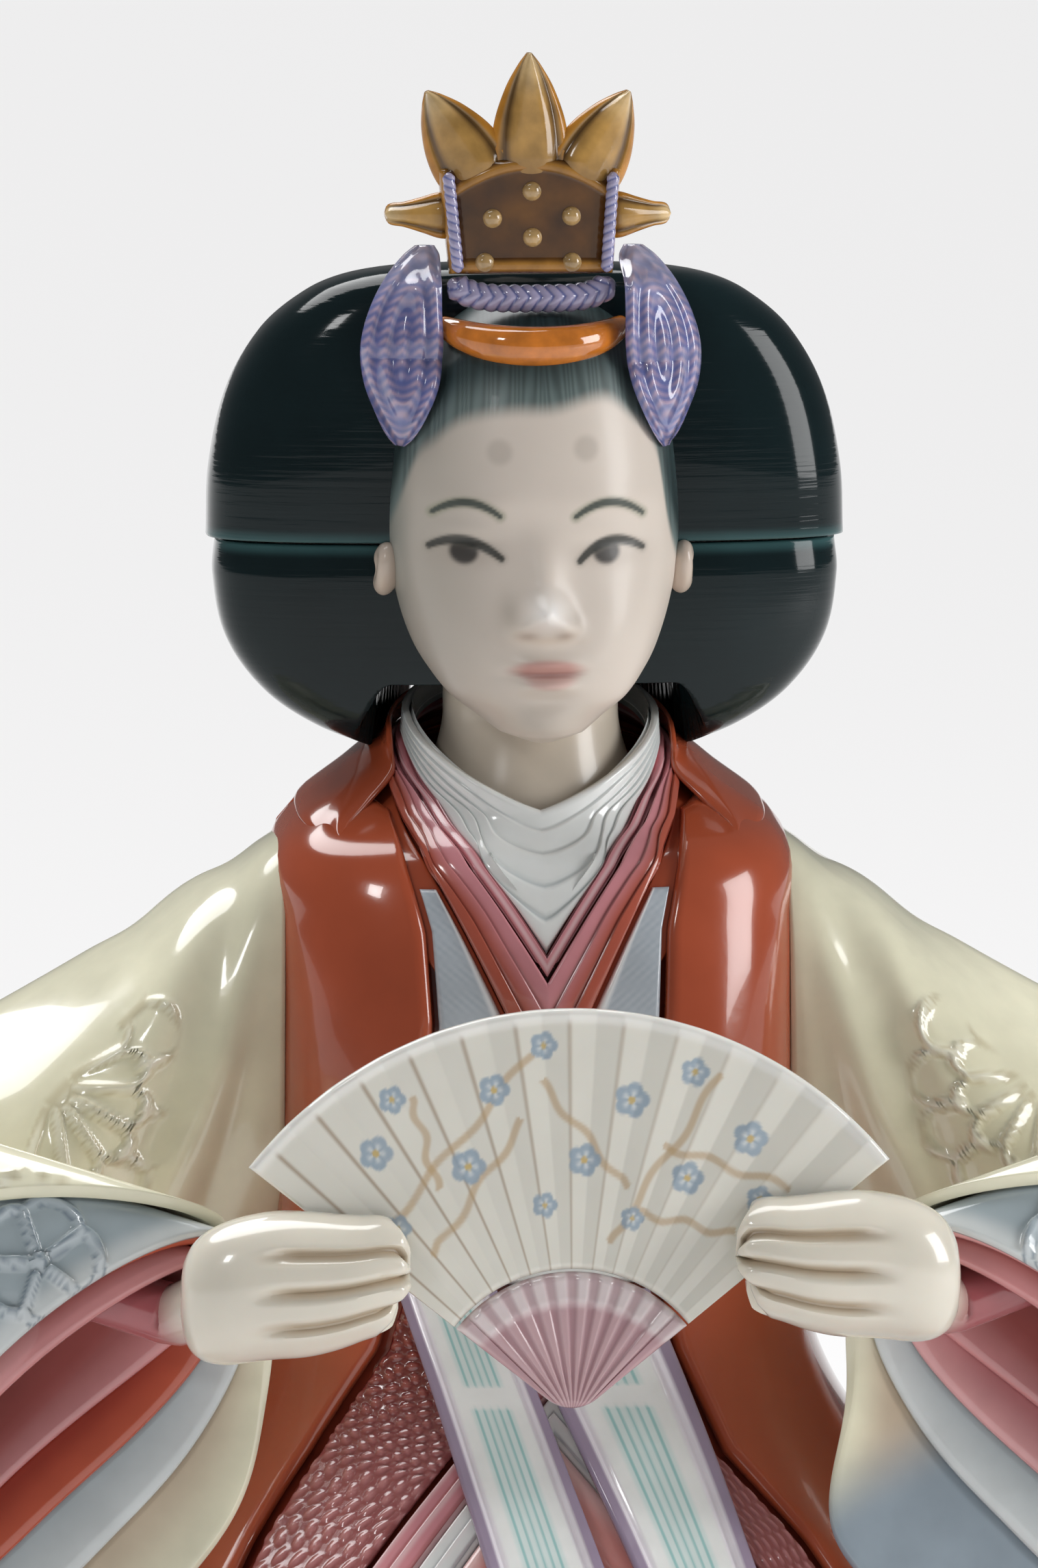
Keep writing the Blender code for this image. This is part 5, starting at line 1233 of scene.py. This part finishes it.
def head_place(s, t):
    phase = math.tau * (s - 0.5)
    turn = phase - 0.55 * np.sin(phase)
    rise = t - 0.10 * np.sin(math.tau * t) / math.tau
    wide, front, back = row_at(HEAD, rise).T
    pinch = drawn_in(t, 0.02)
    ahead, behind = front * FACE_DEEP, back * SKULL_BACK
    x = pinch * wide * FACE_HALF * power(np.sin(turn), 2 / 2.15)
    y = (behind - ahead) / 2 - pinch * (behind + ahead) / 2 * power(np.cos(turn), 2 / 2.15)
    z = CHIN + rise * HEAD_TALL - 0.0011 * hill(x, y, (0, -0.020), (0.006, 0.010)) * smooth(0.10, 0, t)
    facing = smooth(0.0, 0.5, np.cos(turn))
    for across, up, half, tall, out in CLAY:
        bump = hill(x * 1000, z * 1000, (across, up), (half, tall))
        y = y - out / 1000 * bump * facing
    return np.stack([x, y, z], axis=1)


print("tip of the nose in mm:", head_place(np.array([0.5]), np.array([0.285])).round(4))

# %% Painting the face
LID_LINES = (((-16.1, 214.4), (-12.3, 215.5), (-8.3, 214.4), (-6.2, 213.0)),
             ((5.0, 212.6), (7.1, 214.4), (10.1, 215.4), (14.4, 214.2)))
BROWS = (((-15.7, 219.3), (-11.5, 220.9), (-6.4, 219.0)), ((4.4, 218.9), (8.9, 220.9), (14.4, 219.1)))
HAIRLINE = ((-21.5, 214.0), (-17.6, 225.7), (-15.3, 228.3), (-11.6, 231.3), (-5.0, 232.8), (1.4, 233.0),
            (8.9, 234.7), (12.7, 232.0), (16.8, 226.8), (18.8, 216.0), (21.5, 208.0))


def stroke(x, z, points):
    """How far each place is from a drawn line, and how far along the line it lies."""
    points = np.array(points)
    fine = np.linspace(points[0, 0], points[-1, 0], 60)
    bend = np.polyfit(points[:, 0], points[:, 1], min(len(points) - 1, 3))
    heights = np.polyval(bend, fine)
    away = np.full(len(x), 1e9)
    share = np.zeros(len(x))
    for k in range(60):
        gap = np.hypot(x - fine[k], z - heights[k])
        share = np.where(gap < away, k / 59, share)
        away = np.minimum(away, gap)
    return away, share


def face_paint(s, t, points):
    x, z, y = points[:, 0] * 1000, points[:, 2] * 1000, points[:, 1]
    front = y < 0.002
    # Painted shade under the chin and under the nose
    paint = mix(SKIN, (0.66, 0.58, 0.48), smooth(191, 184, z) * 0.5)
    paint = mix(paint, (0.62, 0.48, 0.36), hill(x, z, (0, 201.4), (4.5, 0.8)) * 0.45 * front)
    # Painted shade over the face's left side, dark teal at its far left edge
    paint = mix(paint, (0.33, 0.31, 0.27), smooth(-4.0, -17.0, x) * 0.62 * front)
    paint = mix(paint, (0.10, 0.17, 0.165), smooth(-17.5, -21.5, x) * 0.45 * front)
    # Painted shade under the jaw and on both sides of the nose
    paint = mix(paint, (0.45, 0.40, 0.34), hill(x, z, (-1.0, 189.5), (12.0, 3.2)) * 0.45 * front)
    paint = mix(paint, (0.40, 0.35, 0.29), hill(x, z, (-5.2, 205.2), (1.6, 3.0)) * 0.50 * front)
    paint = mix(paint, (0.42, 0.36, 0.30), hill(x, z, (4.6, 204.6), (1.2, 2.2)) * 0.35 * front)
    # Painted shadows of the nostrils
    for nostril in (-2.6, 2.6):
        paint = mix(paint, (0.30, 0.20, 0.15), hill(x, z, (nostril, 202.2), (1.4, 0.6)) * 0.55 * front)
    # Painted highlight on the tip of the nose
    paint = mix(paint, (0.96, 0.93, 0.90), hill(x, z, (0.2, 205.6), (2.6, 2.4)) * 0.85 * front)
    for line in BROWS:
        away, share = stroke(x, z, line)
        paint = mix(paint, (0.26, 0.27, 0.17), smooth(1.2, 0.4, away) * 0.55 * front)
        heavy = 0.70 + 0.50 * np.sin(share * math.pi)
        paint = mix(paint, (0.025, 0.04, 0.035), smooth(0.68, 0.30, away / heavy) * 0.9 * front)
    for line, cx in zip(LID_LINES, (-11.4, 8.9)):
        iris = smooth(2.5, 1.5, np.hypot(x - cx, (z - 213.9) * 1.1)) * smooth(2.0, 1.5, z - 213.9)
        # A painted shadow under each upper lid
        shade = hill(x, z, (cx + 0.3, 213.2), (4.6, 1.6)) * 0.30
        paint = mix(paint, (0.34, 0.27, 0.22), shade * front)
        paint = mix(paint, (0.030, 0.028, 0.027), iris * 0.93 * front)
        away, share = stroke(x, z, line)
        paint = mix(paint, (0.30, 0.27, 0.22), smooth(1.3, 0.3, away) * 0.40 * front)
        heavy = 0.75 + 0.45 * np.sin(share * math.pi)
        paint = mix(paint, (0.03, 0.032, 0.028), smooth(0.86, 0.38, away / heavy) * 0.92 * front)
    for cx, cz in ((-6.4, 228.1), (6.0, 228.6)):
        spot = smooth(2.4, 1.1, np.hypot(x - cx, z - cz))
        paint = mix(paint, (0.40, 0.35, 0.30), spot * 0.42 * front)
    parting = 196.5 + 0.012 * (x - 0.6) ** 2
    corners = smooth(6.8, 2.6, np.abs(x - 0.1))
    upper = smooth(0.0, 0.5, z - parting) * smooth(199.2, 198.2, z + 0.030 * (x - 0.3) ** 2)
    lower = smooth(0.0, 0.5, parting - z) * smooth(194.0, 195.0, z - 0.060 * (x - 0.6) ** 2)
    paint = mix(paint, (0.52, 0.23, 0.20), upper * corners * 0.78 * front)
    paint = mix(paint, (0.66, 0.38, 0.34), lower * smooth(5.0, 2.0, np.abs(x - 0.6)) * 0.62 * front)
    between = smooth(0.65, 0.15, np.abs(z - parting)) * corners
    paint = mix(paint, (0.32, 0.11, 0.10), between * 0.75 * front)
    line = row_at(HAIRLINE, np.clip(x, -21.5, 21.5))[:, 0]
    over = np.where(y < 0.006, smooth(line - 0.4, line + 2.6, z), 1.0 * (z > 196))
    strands = 0.5 + 0.5 * np.sin(x * 7 + 3 * np.sin(x * 1.7) + (z - 230) * 0.5 * np.sign(x))
    teal = mix((0.13, 0.17, 0.165), (0.03, 0.05, 0.052), smooth(line + 2.0, line + 8.0, z))
    teal = teal * (0.75 + 0.5 * strands[:, None])
    return paint * (1 - over[:, None]) + teal * over[:, None]


face_glaze = glaze("painted_face", None, rough=0.36, cloud=0.02, size=60.0, pits=0.02, coat=0.05,
                   scatter=0.10, gloss_level=0.4)
head = closed(grid("head_shell", 350, 200, head_place, face_paint))
finish_piece(head, face_glaze, "head", "skin_glaze", "head")


# %% Neck and ears
def neck_place(s, t):
    turn = math.tau * s
    level, pinch = inside(t, 0.05), drawn_in(t, 0.05)
    radius = 0.0128 + 0.0032 * smooth(0.55, 0.0, level)
    return np.stack([pinch * radius * np.sin(turn), -pinch * radius * np.cos(turn),
                     0.1744 + 0.026 * level], axis=1)


neck = closed(grid("neck_column", 72, 50, neck_place))
# The neck is painted as skin in shade, darker than the face
shaded_neck_clay = glaze("shaded_neck_clay", (0.58, 0.51, 0.42), rough=0.24, cloud=0.04, coat=0.2, scatter=0.1)
finish_piece(neck, shaded_neck_clay, "head", "skin_glaze")


def ear_place(side):
    def place(s, t):
        turn, up = math.tau * s, math.pi * (t - 0.5)
        ring, rise = np.cos(up), np.sin(up)
        hollow = 0.0012 * hill(np.sin(turn) * ring, rise, (-0.2, 0.1), (0.4, 0.5))
        return np.stack([side * (0.0216 + 0.0022 * ring * np.cos(turn) - hollow) + 0.0002 * rise,
                         -0.0060 + 0.0036 * ring * np.sin(turn) - 0.0010 * rise,
                         0.2098 + 0.0040 * rise], axis=1)
    return place


# The ears are painted as skin in shade, darker than the face
shaded_ear_clay = glaze("shaded_ear_clay", (0.60, 0.50, 0.42), rough=0.24, cloud=0.04, coat=0.2, scatter=0.1)
for label, side in SIDES:
    ear = closed(grid("ear_" + label, 40, 30, ear_place(side)))
    finish_piece(ear, shaded_ear_clay, "head", "skin_glaze")

# %% [markdown]
# ## Hair
# The hair is dressed in two broad lobes, the court style, in a green-black glaze with a mirror
# shine. Each lobe is a closed pillow, and its comb marks are grooves far finer than a mesh can
# carry, so the glaze draws them as bump. The nape is hollowed out over the collars.

# %% Hair glaze with comb marks
def comb(material, across, fine, depth):
    """Adds long thin grooves to a glaze: noise that is stretched along the strands."""
    tree = material.node_tree
    link = tree.links.new
    stretch = add_node(tree, "Mapping", Scale=(across, across, fine))
    strands = add_node(tree, "TexNoise", Scale=1.0, Detail=3.0)
    link(add_node(tree, "TexCoord").outputs["Object"], stretch.inputs["Vector"])
    link(stretch.outputs["Vector"], strands.inputs["Vector"])
    bump = add_node(tree, "Bump", Strength=depth, Distance=0.0001)
    link(strands.outputs["Fac"], bump.inputs["Height"])
    link(tree.nodes["Bump"].outputs["Normal"], bump.inputs["Normal"])
    link(bump.outputs["Normal"], tree.nodes["Principled BSDF"].inputs["Normal"])
    return material


HAIR_FOOT, HAIR_TALL, HAIR_HALF, HAIR_FRONT, HAIR_BACK = 0.182, 0.0715, 0.0468, 0.0075, 0.0295
HAIR_LOWER = (
    (0.000, 0.438, 0.27, 0.34),
    (0.056, 0.662, 0.67, 0.58),
    (0.126, 0.823, 0.80, 0.73),
    (0.232, 0.940, 0.87, 0.85),
    (0.360, 0.980, 0.90, 0.92),
    (0.436, 0.972, 0.84, 0.94),
)
HAIR_UPPER = (
    (0.441, 1.000, 1.00, 0.98),
    (0.585, 0.990, 1.00, 1.00),
    (0.741, 0.934, 0.93, 0.966),
    (0.860, 0.830, 0.86, 0.90),
    (0.930, 0.710, 0.75, 0.79),
    (0.972, 0.580, 0.58, 0.65),
    (0.994, 0.400, 0.27, 0.46),
    (1.000, 0.200, -0.30, 0.30),
)


def lobe_place(table):
    foot, top = table[0][0], table[-1][0]

    def place(s, t):
        turn = math.tau * s
        rise = foot + (top - foot) * inside(t, 0.12)
        cap = np.clip(np.minimum(t, 1 - t) / 0.12, 0, 1)
        wide, front, back = row_at(table, rise).T
        ahead, behind = front * HAIR_FRONT, back * HAIR_BACK
        middle = (behind - ahead) / 2
        x = cap * wide * HAIR_HALF * power(np.sin(turn), 2 / 3.0)
        y = middle - cap * (behind + ahead) / 2 * power(np.cos(turn), 2 / 3.0)
        z = HAIR_FOOT + rise * HAIR_TALL
        notch = smooth(0.0178, 0.0160, np.abs(x)) * smooth(-0.001, 0.001, y)
        brim = 0.0240 + 0.0070 * smooth(0.004, -0.002, y)
        hollow = np.maximum(smooth(brim, 0.0216, np.hypot(x, y)), notch)
        room = 0.1740 + np.where(y > 0, 0.0220, 0.0188) * hollow
        return np.stack([x, y, np.maximum(z, room) if table is HAIR_LOWER else z], axis=1)
    return place


def lobe_paint(s, t, points):
    z = points[:, 2] * 1000
    rim = smooth(2.2, 0.4, np.abs(z - 213.3))
    return mix(HAIR, (0.045, 0.11, 0.115), rim * 0.8)


hair_lobe_glaze = comb(glaze("combed_hair_glaze", None, rough=0.10, cloud=0.20, size=50.0, pits=0.0,
                             coat=0.18, gloss_level=0.18), 40.0, 1100.0, 0.55)
for label, table in (("lower", HAIR_LOWER), ("upper", HAIR_UPPER)):
    lobe = closed(grid("hair_lobe_" + label, 260, 140, lobe_place(table), lobe_paint))
    finish_piece(lobe, hair_lobe_glaze, "head", "hair_glaze", "hair_" + label)

# %% [markdown]
# ## Head band, crown and its cords
# The crown is a stamped plate with three leaves, two side spikes and six studs. Its rims are
# raised and its grooves are filled with a dark brown glaze, so colour and relief follow one
# another here. A twisted cord runs up each side and a thick one lies across its foot.

# %% Ropes along a path
def rope_place(path, width, height, lie=None):
    def place(s, t):
        here, ahead, behind = path(t), path(np.minimum(t + 0.01, 1)), path(np.maximum(t - 0.01, 0))
        run = ahead - behind
        run /= np.linalg.norm(run, axis=1)[:, None]
        side = np.cross(run, (0, -0.1, 1.0))
        side /= np.linalg.norm(side, axis=1)[:, None]
        rise = np.cross(side, run)
        turn = math.tau * s
        lay = 1 + 0.14 * np.abs(np.sin(lie(s, t))) if lie else 1.0
        swell = drawn_in(t, 0.05)
        return (here + side * (width(t) * lay * swell * np.cos(turn))[:, None]
                + rise * (height(t) * lay * swell * np.sin(turn))[:, None])
    return place


def band_path(t):
    share = 2 * t - 1
    turn = share * math.radians(62)
    return np.stack([0.0155 * np.sin(turn) - 0.0006, -0.0200 * np.cos(turn),
                     0.2428 + 0.0030 * share ** 2], axis=1)


def band_swell(t):
    return np.sqrt(np.maximum(1 - (2 * t - 1) ** 2 * 0.90, 0.0))


band = closed(grid("head_band_glossy", 60, 160,
                   rope_place(band_path, lambda t: 0.0026 * band_swell(t),
                              lambda t: 0.0029 * band_swell(t))))
band_glaze = glaze("orange_band_glaze", (0.62, 0.19, 0.022), rough=0.10, cloud=0.25, size=300.0,
                   coat=0.8)
finish_piece(band, band_glaze, "head", "band_glaze", "head_band")

# %% The crown's bent plate
CROWN_FOOT, CROWN_HALF, CROWN_TALL = 0.2528, 0.0118, 0.0150
PLATE_LAYER = (0.0015, 0.0030)
GOLD, BROWN, PALE = (0.46, 0.19, 0.020), (0.040, 0.014, 0.004), (0.44, 0.25, 0.070)
BLADE = ((0.0, 0.80), (0.25, 1.0), (0.50, 0.92), (0.75, 0.62), (0.92, 0.28), (1.0, 0.06))
SPIKE = ((0.0, 1.05), (0.25, 1.0), (0.50, 0.76), (0.75, 0.54), (0.90, 0.48), (0.97, 0.36), (1.0, 0.12))


def crown_at(across, rise, ahead):
    bend = across ** 2 / 0.06
    height = CROWN_FOOT + rise
    return np.stack([across - 0.014 * (height - CHIN), -0.0145 + bend - ahead, height], axis=1)


def plate_spot(s, t, lift):
    place = 2 * s - 1
    rise = CROWN_TALL * t + 0.12 * CROWN_TALL * (1 - place ** 2) * t
    return crown_at(place * CROWN_HALF * (1 + 0.12 * t), rise, lift)


def plate_relief(s, t):
    arc = smooth(0.06, 0.02, np.abs(t - 0.70 - 0.24 * (1 - (2 * s - 1) ** 2)))
    foot = smooth(0.06, 0.02, np.abs(t - 0.08))
    rim = smooth(0.06, 0.02, np.minimum(s, 1 - s))
    return 0.0004 * np.maximum(np.maximum(arc, foot), rim)


def plate_paint(s, t, points):
    high = plate_relief(s, t) / 0.0004
    worn = 0.5 + 0.5 * np.sin(s * 9 + 2 * np.sin(t * 5)) * np.sin(t * 6 + s * 3)
    return mix(mix(BROWN, GOLD, 0.06 + 0.16 * worn + 0.6 * high), PALE, high * 0.35)


crown_glaze = glaze("crown_brown_gold", None, rough=0.14, cloud=0.25, size=260.0, coat=0.3,
                    gloss_level=0.35)
plate = sheet("crown_plate_stamped", 100, 80, plate_spot, PLATE_LAYER, (0.03, 0.04), plate_relief,
              plate_paint)
finish_piece(plate, crown_glaze, "crown", "gold_glaze", "crown_plate")


def blade_place(root, lean, length, width, thick, outline=BLADE):
    def place(s, t):
        turn = math.tau * s
        inner, close = inside(t, 0.03), drawn_in(t, 0.03)
        half = close * width / 2 * row_at(outline, inner)[:, 0]
        out = half * np.cos(turn)
        away = np.abs(np.cos(turn))
        ridge = 0.30 * smooth(0.62, 0.30, away) - 0.35 * hill(away, 0 * away, (0.70, 0), (0.09, 1))
        deep = thick / 2 * close * np.sin(turn) * (1 + ridge * (np.sin(turn) > 0))
        deep = deep - 0.0013 * smooth(0.26, 0.04, inner)
        centre_x = root[0] + math.sin(lean) * length * inner
        centre_z = root[1] + math.cos(lean) * length * inner
        return crown_at(centre_x + out * math.cos(lean), centre_z - out * math.sin(lean), deep)
    return place


def blade_paint(s, t, points):
    away = np.abs(np.cos(math.tau * s))
    base = mix(PALE, (0.70, 0.52, 0.28), smooth(0.60, 0.98, t) * 0.8)
    base = mix(base, (0.22, 0.11, 0.025), smooth(0.45, 0.0, t) * 0.75)
    base = mix(base, BROWN, hill(away, 0 * away, (0.66, 0), (0.12, 1)) * smooth(1.0, 0.75, t) * 0.85)
    return mix(base, GOLD, smooth(0.74, 0.88, away) * 0.9)


for k, (lean, root, share) in enumerate(((-31, -0.50, 0.84), (0, 0.0, 1.0), (31, 0.50, 0.84))):
    blade = closed(grid(f"crown_leaf_{k}", 72, 60,
                        blade_place((root * CROWN_HALF, CROWN_TALL * 0.78), math.radians(lean),
                                    0.0200 * share, 0.0112, 0.0030 * (1 + 0.08 * (1 + k))),
                        blade_paint))
    finish_piece(blade, crown_glaze, "crown", "gold_glaze")
for label, side in SIDES:
    blade = closed(grid("crown_spike_" + label, 60, 40,
                        blade_place((side * CROWN_HALF * 0.90, CROWN_TALL * 0.56),
                                    side * math.radians(90), 0.0100, 0.0066, 0.0030 * 0.92,
                                    SPIKE),
                        blade_paint))
    finish_piece(blade, crown_glaze, "crown", "gold_glaze")


# %% Studs and cords
def ball_place(centre, radius):
    def place(s, t):
        turn, up = math.tau * s, math.pi * (t - 0.5)
        return centre + radius * np.stack([np.cos(up) * np.cos(turn), np.cos(up) * np.sin(turn),
                                           np.sin(up)], axis=1)
    return place


STUDS = ((0.0, 0.80), (-0.48, 0.54), (0.48, 0.56), (0.0, 0.36), (-0.58, 0.12), (0.48, 0.12))
stud_glaze = glaze("stud_glaze", (0.42, 0.27, 0.11), rough=0.10, cloud=0.3, size=500.0, coat=0.8)
for k, (across, height) in enumerate(STUDS):
    centre = crown_at(np.array([across * CROWN_HALF]), np.array([height * CROWN_TALL]), 0.0015)[0]
    stud = closed(grid(f"crown_stud_{k}", 24, 16, ball_place(centre, 0.0014)))
    finish_piece(stud, stud_glaze, "crown", "gold_glaze")


def side_cord_path(side):
    def path(t):
        level = 0.02 + 0.96 * t
        return crown_at(side * CROWN_HALF * (1 + 0.12 * level) * 0.90, CROWN_TALL * level, 0.0026)
    return path


def roll_path(t):
    return crown_at(CROWN_HALF * (2 * t - 1), -0.0034 + 0.0026 * np.abs(2 * t - 1) ** 5, 0.0004)


def twisted(turns):
    return lambda s, t: math.tau * s + turns * t


def braided(s, t):
    """Strands that meet in a V along the middle, as in a flat braid."""
    return 46 * t + 2.6 * np.abs(np.sin(math.tau * s - 0.3))


def strand_paint(light, dark, lie):
    def paint(s, t, points):
        dip = smooth(0.70, 0.10, np.abs(np.sin(lie(s, t))))
        return mix(light, dark, dip * 0.8)
    return paint


def even(radius):
    return lambda t: np.full(len(t), radius)


cord_glaze = glaze("lilac_cord_glaze", None, rough=0.14, cloud=0.15, size=300.0, coat=0.7)
LILAC, VIOLET, ROSE = (0.38, 0.35, 0.52), (0.08, 0.11, 0.32), (0.56, 0.40, 0.48)
for label, side in SIDES:
    cord = closed(grid("crown_cord_twisted_" + label, 24, 140,
                       rope_place(side_cord_path(side), even(0.0008), even(0.0008), twisted(36 * side)),
                       strand_paint(LILAC, VIOLET, twisted(36 * side))))
    finish_piece(cord, cord_glaze, "crown", "cord_glaze", "crown_cord_" + label)
roll = closed(grid("crown_roll_braided", 72, 240,
                   rope_place(roll_path, even(0.0018), even(0.0018), braided),
                   strand_paint(LILAC, VIOLET, braided)))
finish_piece(roll, cord_glaze, "crown", "cord_glaze", "crown_roll")

# %% Folded cords at the temples
LOOP = (
    (0.00, 0.80, 0.24, 0.45),
    (0.05, 0.83, 0.46, 0.68),
    (0.16, 0.90, 0.68, 0.82),
    (0.32, 0.965, 0.88, 0.95),
    (0.50, 1.000, 1.00, 1.00),
    (0.68, 1.010, 0.90, 0.98),
    (0.84, 1.015, 0.60, 0.86),
    (0.95, 1.020, 0.32, 0.62),
    (1.00, 1.020, 0.12, 0.35),
)


def front_of(across, height):
    """How far forward the head, the hair or the band stands at places seen from the front."""
    reach = np.full(len(across), 0.0080)
    for table, base, tall, half, deep, square in (
            (HEAD, CHIN, HEAD_TALL, FACE_HALF, FACE_DEEP, 2.15),
            (HAIR_UPPER, HAIR_FOOT, HAIR_TALL, HAIR_HALF, HAIR_FRONT, 3.0)):
        rise = (height - base) / tall
        wide, front = row_at(table, np.clip(rise, table[0][0], 1))[:, :2].T
        share = np.minimum(np.abs(across) / (wide * half), 1)
        stands = front * deep * (1 - share ** square) ** (1 / square)
        reach = np.where((rise >= table[0][0]) & (rise <= 1), np.maximum(reach, stands), reach)
    share = np.minimum(np.abs(across) / 0.0161, 1)
    on_band = smooth(0.0095, 0.0050, np.abs(height - 0.2458))
    over = 0.0200 * np.sqrt(1 - share ** 2) + 0.0026
    return reach + np.maximum(over - reach, 0) * on_band


def loop_ring(s, t):
    """Counts the strands of a folded cord from its middle line outwards, nested like loops."""
    return 2.4 * np.sqrt(np.cos(math.tau * s) ** 2 + np.abs(2 * t - 1) ** 3.0)


def loop_place(side):
    def place(s, t):
        down, close = inside(t, 0.03), drawn_in(t, 0.03)
        across, wide, thick = row_at(LOOP, down).T
        height = 0.2568 - 0.0288 * down
        centre = side * across * 0.0188 - 0.014 * (height - CHIN)
        half = close * wide * 0.0058
        turn = math.tau * s
        left, right = front_of(centre - half, height), front_of(centre + half, height)
        near = left + (right - left) * (1 + np.cos(turn)) / 2 + 0.0006
        x = centre + half * np.cos(turn)
        fold = 0.10 * np.cos(math.tau * loop_ring(s, t)) * (np.sin(turn) > 0)
        out = near + thick * 0.0042 * close * (1 + np.sin(turn)) / 2 * (1 - 0.10 + fold)
        return np.stack([x, -out, height], axis=1)
    return place


def loop_paint(s, t, points):
    ring = loop_ring(s, t)
    # Lighter on the crests of the folds and violet in the grooves: painted highlight and painted shade
    # over the strands' own lilac, rose and violet
    crest_highlight = 0.5 + 0.5 * np.cos(math.tau * ring)
    strand = 0.5 + 0.5 * np.sin(t * 130 + 9 * np.abs(ring % 1 - 0.5))
    base = mix(VIOLET, mix(LILAC, ROSE, strand), (0.25 + 0.55 * crest_highlight) * (0.35 + 0.65 * strand))
    return mix(base, (0.62, 0.62, 0.74), smooth(0.35, 0.0, t) * 0.5)


for label, side in SIDES:
    pad = closed(grid("temple_cord_" + label, 96, 130, loop_place(side), loop_paint))
    finish_piece(pad, cord_glaze, "crown", "cord_glaze", "cord_loop_" + label)

# %% [markdown]
# ## Floor, light and camera
# A glazed figure is all reflections, so the light matters as much as the glaze. A small bright
# softbox upper left draws the sharp highlights, and a wide one at the right models the face and
# the hands. A high soft light from a little
# behind keeps the floor pale right to the back, while the face stays modelled in half shade.
# The floor is a very wide pale sheet, because the camera looks only slightly downwards.

# %% Stage
stage = bpy.data.materials.new("pale_floor")
stage.use_nodes = True
stage.node_tree.nodes["Principled BSDF"].inputs["Base Color"].default_value = (0.86, 0.855, 0.855, 1)
stage.node_tree.nodes["Principled BSDF"].inputs["Roughness"].default_value = 0.7
bpy.ops.object.select_all(action="DESELECT")
bpy.ops.mesh.primitive_plane_add(size=60)
floor = bpy.context.object
floor.name = "floor"
floor.data.materials.append(stage)


def softbox(name, place, aim, size, watts):
    lamp = bpy.data.lights.new(name, "AREA")
    lamp.shape, lamp.size, lamp.size_y, lamp.energy = "RECTANGLE", size[0], size[1], watts
    box = bpy.data.objects.new(name, lamp)
    box.location = place
    box.rotation_euler = (Vector(aim) - Vector(place)).to_track_quat("-Z", "Y").to_euler()
    bpy.context.scene.collection.objects.link(box)


softbox("key_softbox", (-0.75, -0.85, 0.95), (0, 0, 0.15), (0.16, 0.21), 1.8)
softbox("fill_softbox", (1.20, -0.42, 0.55), (0, 0, 0.15), (0.50, 0.70), 8.5)
high = bpy.data.lights.new("high_soft_light", "SUN")
high.energy, high.angle = 3.15, math.radians(50)
high_light = bpy.data.objects.new("high_soft_light", high)
high_light.rotation_euler = Vector((-0.25, 0.45, 1.0)).to_track_quat("Z", "Y").to_euler()
bpy.context.scene.collection.objects.link(high_light)

world = bpy.data.worlds.new("pale_room")
bpy.context.scene.world = world
world.use_nodes = True
world.node_tree.nodes["Background"].inputs["Color"].default_value = (0.92, 0.93, 0.95, 1)
world.node_tree.nodes["Background"].inputs["Strength"].default_value = 0.13
bpy.context.scene.view_settings.view_transform = "Standard"
print("two softboxes and a high light over a floor of 60 m")

# %% Camera
azimuth, elevation, away = math.radians(-4.6), math.radians(7), 1.2
back = Vector((math.sin(azimuth) * math.cos(elevation), -math.cos(azimuth) * math.cos(elevation),
               math.sin(elevation)))
lens = bpy.data.cameras.new("camera")
lens.sensor_width = 36
lens.lens = 36 * away / 0.2291
lens.clip_end = 200
camera = bpy.data.objects.new("camera", lens)
camera.location = Vector((-0.00165, 0, 0.1775)) + back * away
camera.rotation_euler = back.to_track_quat("Z", "Y").to_euler()
bpy.context.scene.collection.objects.link(camera)
bpy.context.scene.camera = camera
print("lens in mm:", round(lens.lens, 1))
